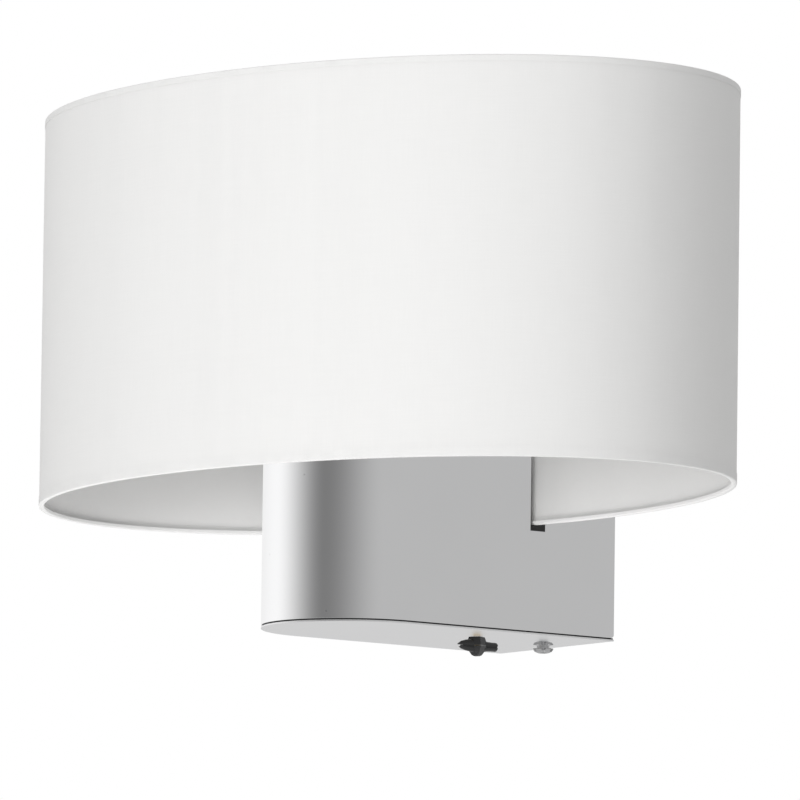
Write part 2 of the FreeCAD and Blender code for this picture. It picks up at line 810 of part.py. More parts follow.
def make_cover_screws():
    """Two slotted screws that hold the front cover on the upper bar."""
    head = dim("screw_head_height")
    half = dim("screw_slot") / 2
    wide = dim("screw_head") / 2
    screws = []
    for side in (-1, 1):
        x = dim("bar_screw_spacing") / 2 * side
        top = cylinder("screw_head", wide, x, BAR_Y, COVER_TOP, COVER_TOP + head)
        low = COVER_TOP - dim("screw_length")
        shank = cylinder("screw_shank", dim("screw_bore") / 2, x, BAR_Y, low, COVER_TOP)
        whole = fuse("screw_whole", [top, shank])
        slot_low = COVER_TOP + head - dim("screw_slot")
        slot = box("screw_slot", x - half, x + half, BAR_Y - wide - OVER,
                   BAR_Y + wide + OVER, slot_low, COVER_TOP + head + OVER)
        screws.append(cut("cover_screw", whole, slot))
    keep(group("cover_screws", screws), "cover_screws")


# ------------------------------------------------------------- lampholder

def make_nipple():
    low = TOP - dim("nipple_hex_height") - dim("nipple_stand")
    high = HOLDER_LOW + dim("holder_wall") + dim("nipple_hex_height") + dim("stud_over")
    rod = cylinder("nipple_rod", dim("nipple_width") / 2, SHADE_X, SHADE_Y, low, high)
    bore = cylinder("nipple_bore_tool", dim("nipple_bore") / 2, SHADE_X, SHADE_Y, low, high)
    keep(cut("holder_nipple", rod, bore), "holder_nipple")
    nuts = []
    for z in (TOP - dim("nipple_hex_height"), HOLDER_LOW + dim("holder_wall")):
        height = dim("nipple_hex_height")
        blank = hexagon("nipple_blank", dim("nipple_hex"), SHADE_X, SHADE_Y, z, height)
        hole = dim("nipple_width") / 2 + dim("slide_gap")
        tool = cylinder("nipple_tool", hole, SHADE_X, SHADE_Y, z, z + height)
        nuts.append(cut("nipple_nut", blank, tool))
    keep(group("nipple_nuts", nuts), "nipple_nuts")


def make_holder_cap():
    """Base cup of the lampholder with a side mouth for the lead."""
    wide = BARREL
    wall = dim("holder_wall")
    bevel = dim("holder_bevel")
    hole = dim("nipple_width") / 2 + dim("slide_gap")
    profile = [
        (hole, HOLDER_LOW),
        (wide - bevel, HOLDER_LOW),
        (wide, HOLDER_LOW + bevel),
        (wide, CAP_TOP),
        (wide - wall, CAP_TOP),
        (wide - wall, HOLDER_LOW + wall),
        (hole, HOLDER_LOW + wall),
    ]
    body = turned("holder_cap", profile)
    half = dim("holder_lead_width") / 2 + dim("lead_mouth_gap")
    mouth = new_sketch(body, "XY_Plane", LEAD_Z - half)
    ux, uy = lead_direction()
    near = wide - wall - dim("lead_inside")
    far = wide + OVER
    polygon(mouth, [
        (-ux * near + uy * half, -uy * near - ux * half),
        (-ux * far + uy * half, -uy * far - ux * half),
        (-ux * far - uy * half, -uy * far + ux * half),
        (-ux * near - uy * half, -uy * near + ux * half),
    ])
    pocket(body, mouth, half * 2, reverse=True)
    place(body, SHADE_X, SHADE_Y, 0.0)
    keep(body, "holder_cap")


def lead_direction():
    """Unit direction in plan from the lead hole to the lampholder."""
    across = SHADE_X - LEAD_X
    out = SHADE_Y - LEAD_Y
    length = root(across * across + out * out)
    return across / length, out / length


def holder_ring(label, inner, outer, low, high, bevel):
    """A ring round the axis of the lampholder, its outer edges bevelled."""
    profile = [
        (inner, low),
        (outer - bevel, low),
        (outer, low + bevel),
        (outer, high - bevel),
        (outer - bevel, high),
        (inner, high),
    ]
    body = turned(label, profile)
    place(body, SHADE_X, SHADE_Y, 0.0)
    keep(body, label)


def make_holder():
    """Barrel, ceramic insert, lamp thread, centre contact and shade rings."""
    wall = dim("holder_wall")
    inner = BARREL - wall
    bevel = dim("holder_bevel")
    collar = BARREL + dim("holder_grip")
    profile = [
        (inner, CAP_TOP),
        (collar, CAP_TOP),
        (collar, SEAT),
        (BARREL, SEAT),
        (BARREL, BARREL_TOP - bevel),
        (BARREL - bevel, BARREL_TOP),
        (inner, BARREL_TOP),
    ]
    body = turned("holder_barrel", profile)
    place(body, SHADE_X, SHADE_Y, 0.0)
    keep(body, "holder_barrel")
    insert_top = CAP_TOP + dim("insert_height")
    insert = cylinder("holder_insert", inner, SHADE_X, SHADE_Y, CAP_TOP, insert_top)
    keep(insert, "holder_insert")
    bore = dim("thread_bore") / 2
    sleeve_top = insert_top + dim("thread_height")
    sleeve = cylinder("sleeve_out", bore + dim("thread_wall"), SHADE_X, SHADE_Y, insert_top,
                      sleeve_top)
    thread = cylinder("sleeve_in", bore, SHADE_X, SHADE_Y, insert_top, sleeve_top)
    keep(cut("thread_sleeve", sleeve, thread), "thread_sleeve")
    half_x = dim("contact_length") / 2
    half_y = dim("contact_width") / 2
    contact = box("centre_contact", SHADE_X - half_x, SHADE_X + half_x, SHADE_Y - half_y,
                  SHADE_Y + half_y, insert_top, insert_top + dim("contact_thick"))
    keep(contact, "centre_contact")
    grip = BARREL + dim("ring_gap")
    outer = dim("ring_width") / 2
    edge = dim("ring_bevel")
    holder_ring("seat_ring", grip, outer, SEAT, SPIDER_LOW, edge)
    holder_ring("clamp_ring", grip, outer, SPIDER_TOP, SPIDER_TOP + dim("ring_upper"), edge)


# ------------------------------------------------------------------ shade

def make_spider():
    """Washer on the lampholder with four arms that rise to the upper rim."""
    wire = dim("spider_wire") / 2
    outer = dim("ring_width") / 2 + dim("spider_edge")
    hole = BARREL + dim("ring_gap") * 2
    disc = cylinder("spider_disc", outer, SHADE_X, SHADE_Y, SPIDER_LOW, SPIDER_TOP)
    tool = cylinder("spider_hole", hole, SHADE_X, SHADE_Y, SPIDER_LOW, SPIDER_TOP)
    pieces = [cut("spider_washer", disc, tool)]
    level = SPIDER_LOW + dim("spider_sheet") / 2
    start = outer - dim("spider_edge")
    inset = HEM_IN + dim("spider_gap") + wire
    top = RIM_TOP - dim("hem_upper") / 2
    for angle, reach in ((0, SHADE_A), (90, SHADE_B), (180, SHADE_A), (270, SHADE_B)):
        step_x = round(math.cos(math.radians(angle)))
        step_y = round(math.sin(math.radians(angle)))
        far = reach - inset
        x = SHADE_X + far * step_x
        y = SHADE_Y + far * step_y
        arm = cylinder("spider_arm", wire, SHADE_X, SHADE_Y, 0.0, far - start)
        place(arm, SHADE_X + start * step_x, SHADE_Y + start * step_y, level)
        turn_object(arm, V(-step_y, step_x, 0), 90)
        elbow = DOC.addObject("Part::Sphere", "spider_elbow")
        bind(elbow, "Radius", wire)
        place(elbow, x, y, level)
        leg = cylinder("spider_leg", wire, x, y, level, top)
        pieces += [arm, elbow, leg]
    keep(fuse("shade_spider", pieces), "shade_spider")


def oval_ring(name, outward, inward, z0, z1):
    """Oval wall between two offsets from the outer face of the cover."""
    return cut(name, oval(name + "_out", outward, z0, z1), oval(name + "_in", inward, z0, z1))


def make_hem(label, outside, inside, channel):
    """Cloth rolled round the rim strip, open towards the middle of the shade.

    Each pair is the lower and the upper height of the cloth outside the cover, of the
    cloth inside it and of the channel that takes cover, liner and strip.
    """
    leg = oval_ring(label + "_leg", HEM_OUT, size(0.0), *outside)
    turn = oval_ring(label + "_turn", size(0.0), HEM_IN, *inside)
    room = oval_ring(label + "_room", size(0.0), STRIP_IN, *channel)
    keep(fuse(label, [leg, cut(label + "_lip", turn, room)]), label)


def make_shade():
    cloth = dim("hem_cloth")
    low = RIM_LOW + cloth
    high = RIM_TOP - cloth
    keep(oval_ring("shade_cover", size(0.0), CLOTH_IN, low, high), "shade_cover")
    keep(oval_ring("shade_liner", CLOTH_IN, LINER_IN, low, high), "shade_liner")
    lower_top = RIM_LOW + dim("hem_lower")
    inner_top = RIM_LOW + dim("hem_inside")
    upper_low = RIM_TOP - dim("hem_upper")
    keep(oval_ring("rim_strip_lower", LINER_IN, STRIP_IN, low, inner_top), "rim_strip_lower")
    keep(oval_ring("rim_strip_upper", LINER_IN, STRIP_IN, upper_low, high), "rim_strip_upper")
    make_hem("hem_lower", (RIM_LOW, lower_top), (RIM_LOW, inner_top), (low, inner_top))
    make_hem("hem_upper", (upper_low, RIM_TOP), (upper_low, RIM_TOP), (upper_low, high))
    seam = oval_ring("seam_ring", HEM_OUT, size(0.0), lower_top, upper_low)
    half = dim("seam_width") / 2
    window = box("seam_window", SHADE_X - half, SHADE_X + half, SHADE_Y, 0.0, lower_top, upper_low)
    strip = DOC.addObject("Part::Common", "cover_seam")
    strip.Base = seam
    strip.Tool = window
    keep(strip, "cover_seam")


# ----------------------------------------------------------------- switch

def make_switch():
    """Rotary switch inside the body; its bush comes through the plate and has a lock nut."""
    half_x = dim("switch_width") / 2
    half_y = dim("switch_length") / 2
    shaft = dim("shaft_width") / 2
    run = shaft + dim("shaft_gap")
    case = box("switch_block", STUD_X - half_x, STUD_X + half_x, SWITCH_Y - half_y,
               SWITCH_Y + half_y, CASE_LOW, CASE_TOP)
    shaft_top = CASE_LOW + dim("shaft_inside")
    well_top = shaft_top + dim("knob_gap")
    well = cylinder("switch_well", run, STUD_X, SWITCH_Y, CASE_LOW, well_top)
    keep(cut("switch_case", case, well), "switch_case")
    bush_low = PLATE_LOW - dim("bush_drop")
    bush = dim("bush_width") / 2
    rod = cylinder("bush_rod", bush, STUD_X, SWITCH_Y, bush_low, CASE_LOW)
    bore = cylinder("bush_bore", run, STUD_X, SWITCH_Y, bush_low, CASE_LOW)
    keep(cut("switch_bush", rod, bore), "switch_bush")
    ring = cylinder("ring_rod", dim("bush_nut_width") / 2, STUD_X, SWITCH_Y, PLATE_TOP, CASE_LOW)
    hole = cylinder("ring_bore", bush + dim("slide_gap"), STUD_X, SWITCH_Y, PLATE_TOP, CASE_LOW)
    keep(cut("bush_nut", ring, hole), "bush_nut")
    shaft_low = KNOB_LOW + dim("knob_cap")
    spindle = cylinder("switch_shaft", shaft, STUD_X, SWITCH_Y, shaft_low, shaft_top)
    keep(spindle, "switch_shaft")


def make_knob():
    """Winged knob: a bevelled hub with two wings across it."""
    body = new_body("switch_knob")
    side = new_sketch(body, "YZ_Plane")
    half = dim("knob_length") / 2
    wing_top = KNOB_TOP - (dim("knob_height") - dim("knob_wing_height")) / 2
    wing_low = wing_top - dim("knob_wing_height")
    slim = dim("knob_slim")
    corner = dim("knob_round")
    polygon(side, [
        (-half, wing_top - slim),
        (-half + slim, wing_top),
        (half - corner, wing_top),
        (half, wing_top - corner),
        (half, wing_low + corner),
        (half - corner, wing_low),
        (-half + slim * 2, wing_low),
    ])
    pad(body, side, dim("knob_wing"), both=True)
    hub = new_sketch(body, "XZ_Plane")
    wide = dim("knob_hub") / 2
    edge = dim("knob_edge")
    polygon(hub, [
        (0.0, KNOB_LOW),
        (wide - edge, KNOB_LOW),
        (wide, KNOB_LOW + edge),
        (wide, KNOB_TOP - edge),
        (wide - edge / 2, KNOB_TOP),
        (0.0, KNOB_TOP),
    ])
    revolve(body, hub)
    hole = new_sketch(body, "XY_Plane", KNOB_LOW + dim("knob_cap"))
    circle(hole, 0.0, 0.0, dim("shaft_width") / 2)
    pocket(body, hole, dim("knob_height"), reverse=True)
    place(body, STUD_X, SWITCH_Y, 0.0)
    keep(body, "switch_knob")


# ----------------------------------------------------------------- wiring

def make_block():
    """Three-pole terminal block on the bracket, screws towards the front."""
    body = new_body("terminal_block")
    back = -dim("bracket_sheet")
    half = dim("block_length") / 2
    centre = -dim("block_side")
    low = BLOCK_TOP - dim("block_height")
    sketch = new_sketch(body, "XZ_Plane", -back)
    rectangle(sketch, centre - half, centre + half, low, BLOCK_TOP)
    pad(body, sketch, dim("block_depth"))
    wells = new_sketch(body, "XZ_Plane", -back + dim("block_depth"))
    level = BLOCK_TOP - dim("block_height") / 2
    for pole in (-1, 0, 1):
        circle(wells, centre + dim("block_pitch") * pole, level, dim("pole_bore") / 2)
    pocket(body, wells, dim("pole_depth"))
    keep(body, "terminal_block")
    screws = []
    seat = back - dim("block_depth") + dim("pole_depth")
    radius = dim("pole_bore") / 2 - dim("slide_gap")
    for pole in (-1, 0, 1):
        screw = cylinder("pole_screw", radius, 0.0, 0.0, 0.0, dim("pole_screw"))
        place(screw, centre + dim("block_pitch") * pole, seat, level)
        screws.append(turn_object(screw, V(1, 0, 0), 90))
    keep(group("terminal_screws", screws), "terminal_screws")


def rounded_path(points, bend):
    """Wire of straight runs joined by tangent arcs of one radius."""
    edges = []
    start = points[0]
    for before, corner, after in zip(points, points[1:], points[2:]):
        come = (corner - before).normalize()
        go = (after - corner).normalize()
        turn = come.getAngle(go)
        reach = bend * math.tan(turn / 2)
        enter = corner - come * reach
        leave = corner + go * reach
        inward = (go - come).normalize()
        centre = corner + inward * (bend / math.cos(turn / 2))
        middle = centre - inward * bend
        edges.append(Part.LineSegment(start, enter).toShape())
        edges.append(Part.Arc(enter, middle, leave).toShape())
        start = leave
    edges.append(Part.LineSegment(start, points[-1]).toShape())
    return Part.Wire(edges)


def make_lead(label, width, bend, points):
    """A round lead along a rounded path."""
    plain = [V(float(x), float(y), float(z)) for x, y, z in points]
    path = rounded_path(plain, float(bend))
    first = (plain[1] - plain[0]).normalize()
    radius = float(width) / 2
    profile = Part.Wire([Part.Circle(plain[0], first, radius).toShape()])
    item = DOC.addObject("Part::Feature", label)
    item.Shape = path.makePipeShell([profile], True, False)
    keep(item, label)
    print(label, "volume over section times length",
          round(item.Shape.Volume / (math.pi * radius ** 2 * path.Length), 4))


def make_leads():
    """Lead to the lampholder and lead to the switch, both from the block."""
    start_y = -dim("bracket_sheet") - dim("block_depth") / 2
    ux, uy = lead_direction()
    level = BLOCK_TOP + dim("lead_straight") + dim("lead_bend")
    inside = BARREL - dim("holder_wall") - dim("lead_inside")
    make_lead("holder_lead", dim("holder_lead_width"), dim("lead_bend"), [
        (LEAD_X, start_y, BLOCK_TOP),
        (LEAD_X, start_y, level),
        (LEAD_X, LEAD_Y, level),
        (LEAD_X, LEAD_Y, LEAD_Z),
        (SHADE_X - ux * inside, SHADE_Y - uy * inside, LEAD_Z),
    ])
    pole_x = -dim("block_side") + dim("block_pitch")
    end_y = SWITCH_Y + dim("switch_length") / 4
    level = BLOCK_TOP + dim("lead_straight") + dim("lead_small_bend")
    make_lead("switch_lead", dim("switch_lead_width"), dim("lead_small_bend"), [
        (pole_x, start_y, BLOCK_TOP),
        (pole_x, start_y, level),
        (pole_x, start_y - dim("bracket_reach") / 2, level),
        (STUD_X, end_y, level),
        (STUD_X, end_y, CASE_TOP),
    ])


# ------------------------------------------------------------------ model

def check_and_write():
    """Stop on any failed object, then write each sub-part."""
    DOC.recompute()
    for obj in DOC.Objects:
        if "Invalid" in obj.State or "Error" in obj.State:
            raise RuntimeError("failed object: %s (%s)" % (obj.Name, obj.Label))
    os.makedirs("parts", exist_ok=True)
    for obj in NODES:
        shape = obj.Shape
        if shape.isNull() or not shape.isValid() or shape.Volume <= 0:
            raise RuntimeError("bad shape: " + obj.Label)
        shape.exportStep("parts/%s.step" % obj.Label)
        print("%-18s solids %d volume %.0f" % (obj.Label, len(shape.Solids), shape.Volume))


make_bracket()
make_grommet()
make_shell()
make_pad(1, "slot_pad_right")
make_pad(-1, "slot_pad_left")
make_gasket()
make_plate()
make_fixings()
make_crown_nut()
make_bar("upper_bar", TOP, 1)
make_bar("lower_bar", BOTTOM, -1)
make_cover()
make_cover_screws()
make_nipple()
make_holder_cap()
make_holder()
make_spider()
make_shade()
make_switch()
make_knob()
make_block()
make_leads()
check_and_write()
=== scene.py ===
"""Looks of the fabric shade wall light, modelled and finished round its packed frame.

Metres. X runs along the wall, the wall is the plane Y = 0, the lamp stands out
towards -Y and Z is up, as in the frame. Angles round the lamp are measured from
straight in front of it (-Y) towards +X.
"""

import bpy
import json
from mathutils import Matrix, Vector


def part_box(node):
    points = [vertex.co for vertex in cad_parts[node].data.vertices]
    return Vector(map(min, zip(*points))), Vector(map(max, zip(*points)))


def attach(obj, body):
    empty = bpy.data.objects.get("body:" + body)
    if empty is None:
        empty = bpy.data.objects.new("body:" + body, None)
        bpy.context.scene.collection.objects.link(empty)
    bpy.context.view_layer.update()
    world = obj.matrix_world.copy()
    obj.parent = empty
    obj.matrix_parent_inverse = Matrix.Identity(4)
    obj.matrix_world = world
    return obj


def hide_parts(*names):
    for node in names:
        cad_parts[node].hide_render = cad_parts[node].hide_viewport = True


bl_info = {
    "name": "Fabric Shade Wall Light",
    "version": (1, 0, 0),
    "blender": (4, 5, 0),
    "location": "View3D > Sidebar > Wall Light",
    "description": "Models and finishes an oval fabric shade wall light",
    "category": "Add Mesh",
}

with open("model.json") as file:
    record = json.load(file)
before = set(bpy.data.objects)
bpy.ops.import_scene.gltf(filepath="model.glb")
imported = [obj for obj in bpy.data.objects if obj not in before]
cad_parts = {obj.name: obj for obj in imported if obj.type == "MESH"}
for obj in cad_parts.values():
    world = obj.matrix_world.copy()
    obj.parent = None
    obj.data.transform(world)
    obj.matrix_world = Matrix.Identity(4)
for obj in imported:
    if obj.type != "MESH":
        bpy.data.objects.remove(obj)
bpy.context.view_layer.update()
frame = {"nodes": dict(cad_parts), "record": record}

import json
import math

import bmesh
import bpy
from bpy.props import FloatProperty, FloatVectorProperty, IntProperty, PointerProperty
from bpy.types import Operator, Panel, PropertyGroup
from mathutils import Matrix, Vector

MM = 0.001
NEAR = 0.01 * MM
PAD_THICKNESS = 2.4 * MM


def node_size(node):
    """Width, depth and height of a CAD node, to a hundredth of a millimetre."""
    low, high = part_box(node)
    return [round(high[i] - low[i], 5) for i in range(3)]


def node_middle(node):
    low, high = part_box(node)
    return [round((low[i] + high[i]) / 2, 5) for i in range(3)]


# ------------------------------------------------------------------- settings

def length(name, what, value):
    return FloatProperty(name=name, description=what, default=value, unit="LENGTH", precision=5)


def colour(name, what, value):
    return FloatVectorProperty(name=name, description=what, default=value, subtype="COLOR",
                               size=3, min=0.0, max=1.0)


def angle(name, what, degrees):
    return FloatProperty(name=name, description=what, default=math.radians(degrees),
                         subtype="ANGLE")


class WallLightShade(PropertyGroup):
    """Sizes and colours of the oval shade."""
    width: length("Length", "Shade along the wall", round(node_size("shade_cover")[0], 3))
    depth: length("Depth", "Shade away from the wall", round(node_size("shade_cover")[1], 3))
    cloth: length("Cloth", "Thickness of the woven cover", 0.4 * MM)
    liner: length("Liner", "Thickness of the stiff liner", 0.5 * MM)
    strip: length("Strip", "Thickness of the steel rim strips", 0.8 * MM)
    hem_cloth: length("Hem cloth", "Cloth of the rolled hems", 0.35 * MM)
    strip_step: length("Strip step", "Rim strips of the frame thicker than these", 1.0 * MM)
    hem_stand: length("Hem stand", "Hem outside the face of the cover", 0.18 * MM)
    weave: length("Weave", "Distance from thread to thread", 0.62 * MM)
    steps: IntProperty(name="Steps", description="Facets round the shade", default=288)
    cloth_colour: colour("Cloth", "Bleached cloth", (0.87, 0.868, 0.862))
    liner_colour: colour("Liner", "Film behind the cloth", (0.86, 0.857, 0.85))


class WallLightBody(PropertyGroup):
    """Sizes and colours of the polished body."""
    wall: length("Sheet", "Sheet of the side panels", 1.2 * MM)
    edge: length("Edge", "Rounding of the sheet's edges", 0.1 * MM)
    corner: length("Corner", "Rounding of the panels' lower back corners", 1.3 * MM)
    plate_edge: length("Plate edge", "Rounding of the bottom plate", 0.3 * MM)
    steps: IntProperty(name="Steps", description="Facets round the nose", default=144)
    chrome: colour("Chrome", "Polished plating", (0.79, 0.79, 0.795))
    satin: colour("Satin", "Satin plating of the bottom plate", (0.8, 0.8, 0.805))
    nut: colour("Nut", "Machined and plated nut", (0.42, 0.42, 0.425))
    # This black is the grommet's rubber and also the thin gasket under the shell. The gasket's black line
    # stands in for the shadow in the gap between shell and plate, so it is painted shadow.
    rubber_and_painted_shadow: colour("Rubber", "Gasket and grommet", (0.02, 0.02, 0.021))


class WallLightHolder(PropertyGroup):
    """Sizes and colours of the lampholder and its fixings."""
    steps: IntProperty(name="Steps", description="Facets round the lampholder", default=96)
    thread: length("Thread", "Pitch of the lamp thread", 3.6 * MM)
    barrel_thread: length("Barrel thread", "Pitch of the shade ring thread", 2.4 * MM)
    plastic: colour("Plastic", "Moulded lampholder", (0.78, 0.775, 0.755))
    ceramic: colour("Ceramic", "Insert of the lampholder", (0.72, 0.69, 0.64))
    brass: colour("Brass", "Contacts and nipple", (0.78, 0.6, 0.33))
    zinc: colour("Zinc", "Zinc plated steel", (0.6, 0.61, 0.62))
    paint: colour("Paint", "White powder coat", (0.82, 0.82, 0.81))
    sleeve: colour("Sleeve", "Silicone sleeve of the leads", (0.8, 0.79, 0.77))


class WallLightSwitch(PropertyGroup):
    """Sizes and colours of the switch and the fixing nut."""
    corner: length("Corner", "Rounding of the knob's corners", 0.3 * MM)
    black: colour("Black", "Moulded black plastic", (0.015, 0.015, 0.0155))


class WallLightStage(PropertyGroup):
    """Camera, lights and floor."""
    place: FloatVectorProperty(name="Camera", description="Place of the camera", size=3,
                               subtype="XYZ", default=(3.8972, -3.0515, -0.5088))
    turn: angle("Turn", "Sight of the camera, round the upright", 52.707)
    rise: angle("Rise", "Sight of the camera, above level", 6.582)
    roll: angle("Roll", "Tilt of the camera about its sight", 0.768)
    lens: FloatProperty(name="Lens", description="Focal length in mm", default=540.0)
    floor: length("Floor", "Height of the floor", -1.5)
    key: FloatProperty(name="Key", description="Power of the front light in W", default=25.5)
    low: FloatProperty(name="Low", description="Power of the low lights in W", default=0.5)
    ambient: FloatProperty(name="Ambient", description="Light from all round", default=0.76)
    left: FloatProperty(name="Left", description="Brightness of the studio's left side", default=1.2)
    front: FloatProperty(name="Front", description="Brightness of the studio in front", default=0.25)
    right: FloatProperty(name="Right", description="Brightness of the studio's right side",
                         default=0.6)
    low_side: FloatProperty(name="Low side", description="Brightness below and behind", default=0.85)


# ------------------------------------------------------------ modelling tools

def object_mode():
    """Leave edit mode and deselect everything, the CAD nodes among it."""
    if bpy.context.object and bpy.context.object.mode != "OBJECT":
        bpy.ops.object.mode_set(mode="OBJECT")
    bpy.ops.object.select_all(action="DESELECT")


def begin(name, add, **settings):
    """Add a primitive, put its place in its mesh and open it for editing."""
    object_mode()
    add(**settings)
    piece = bpy.context.object
    piece.name = name
    piece.data.name = name
    bpy.ops.object.transform_apply(location=True, rotation=True, scale=True)
    bpy.ops.object.mode_set(mode="EDIT")
    bpy.ops.mesh.select_mode(type="VERT")
    bpy.ops.mesh.select_all(action="SELECT")
    return piece


def select(piece, kind, test):
    """In edit mode, select the vertices, edges or faces that pass the test, and no more."""
    bpy.ops.mesh.select_mode(type=kind)
    bpy.ops.mesh.select_all(action="DESELECT")
    mesh = bmesh.from_edit_mesh(piece.data)
    items = {"VERT": mesh.verts, "EDGE": mesh.edges, "FACE": mesh.faces}[kind]
    for item in items:
        item.select_set(bool(test(item)))
    mesh.select_flush_mode()
    bmesh.update_edit_mesh(piece.data)


def close_mesh(gap=1e-6):
    """Merge doubles and turn the faces outwards."""
    bpy.ops.mesh.select_all(action="SELECT")
    bpy.ops.mesh.remove_doubles(threshold=gap)
    bpy.ops.mesh.normals_make_consistent(inside=False)


def modify(piece, kind, **settings):
    """Add a modifier and apply it."""
    object_mode()
    piece.select_set(True)
    bpy.context.view_layer.objects.active = piece
    made = piece.modifiers.new(kind.title(), kind)
    for name, value in settings.items():
        setattr(made, name, value)
    bpy.ops.object.modifier_apply(modifier=made.name)


def smooth(piece, above=35.0):
    object_mode()
    piece.select_set(True)
    bpy.context.view_layer.objects.active = piece
    bpy.ops.object.shade_smooth_by_angle(angle=math.radians(above))


def round_edges(piece, width, segments=2, above=30.0):
    """Round the edges sharper than an angle, with clean shading on the flats."""
    smooth(piece, above)
    modify(piece, "BEVEL", width=width, segments=segments, limit_method="ANGLE",
           angle_limit=math.radians(above), harden_normals=True, use_clamp_overlap=True)


def carve(piece, cutters):
    """Take the cutters' shapes out of the piece and delete the cutters."""
    for cutter in cutters:
        modify(piece, "BOOLEAN", object=cutter, operation="DIFFERENCE", solver="EXACT")
        bpy.data.objects.remove(cutter, do_unlink=True)


def join(name, pieces):
    """Join several shapes into one piece."""
    object_mode()
    for piece in pieces:
        piece.select_set(True)
    bpy.context.view_layer.objects.active = pieces[0]
    if len(pieces) > 1:
        bpy.ops.object.join()
    pieces[0].name = name
    pieces[0].data.name = name
    return pieces[0]


def sweep(name, centre, rings, steps, solid=False):
    """A wall or solid swept round an upright axis through rings (x radius, y radius, height).
    A wall goes back to its first ring; a solid is closed by its first and last ring."""
    wide, deep, level = rings[0]
    piece = begin(name, bpy.ops.mesh.primitive_circle_add, vertices=steps, radius=1.0,
                  fill_type="NGON" if solid else "NOTHING")
    bpy.ops.transform.resize(value=(wide, deep, 1.0), center_override=(0, 0, 0))
    bpy.ops.transform.translate(value=(centre[0], centre[1], level))
    for ring in rings[1:] if solid else rings[1:] + rings[:1]:
        bpy.ops.mesh.extrude_region_move()
        bpy.ops.transform.translate(value=(0.0, 0.0, ring[2] - level))
        bpy.ops.transform.resize(value=(ring[0] / wide, ring[1] / deep, 1.0),
                                 center_override=(centre[0], centre[1], ring[2]))
        wide, deep, level = ring
    close_mesh()
    return piece


def turned(name, centre, profile, steps, solid=False):
    """A turned shape from (radius, height) points."""
    return sweep(name, centre, [(r, r, z) for r, z in profile], steps, solid)


def block(name, low, high):
    """A block between two corners, open for editing."""
    piece = begin(name, bpy.ops.mesh.primitive_cube_add, size=1.0)
    low, high = Vector(low), Vector(high)
    bpy.ops.transform.resize(value=high - low, center_override=(0, 0, 0))
    bpy.ops.transform.translate(value=(low + high) / 2)
    return piece


def dress(piece, finish, body="lamp", replaces=(), mirrored=True):
    """Give a finished piece its material, its body and the nodes that it stands for."""
    piece.visible_glossy = mirrored
    object_mode()
    piece.data.materials.clear()
    piece.data.materials.append(finish)
    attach(piece, body)
    if replaces:
        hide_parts(*replaces)
    return piece


# ------------------------------------------------------------- material tools

class Number:
    """A socket of a material being built, with the usual operators."""

    def __init__(self, finish, socket):
        self.finish = finish
        self.socket = socket

    def maths(self, operation, *others):
        return self.finish.node("ShaderNodeMath", {"operation": operation}, self, *others)

    def __add__(self, other):
        return self.maths("ADD", other)

    def __radd__(self, other):
        return self.maths("ADD", other)

    def __sub__(self, other):
        return self.maths("SUBTRACT", other)

    def __rsub__(self, other):
        return self.finish.node("ShaderNodeMath", {"operation": "SUBTRACT"}, other, self)

    def __mul__(self, other):
        return self.maths("MULTIPLY", other)

    def __rmul__(self, other):
        return self.maths("MULTIPLY", other)

    def sine(self):
        return self.maths("SINE")

    def clamped(self):
        return self.finish.node("ShaderNodeClamp", {}, self)


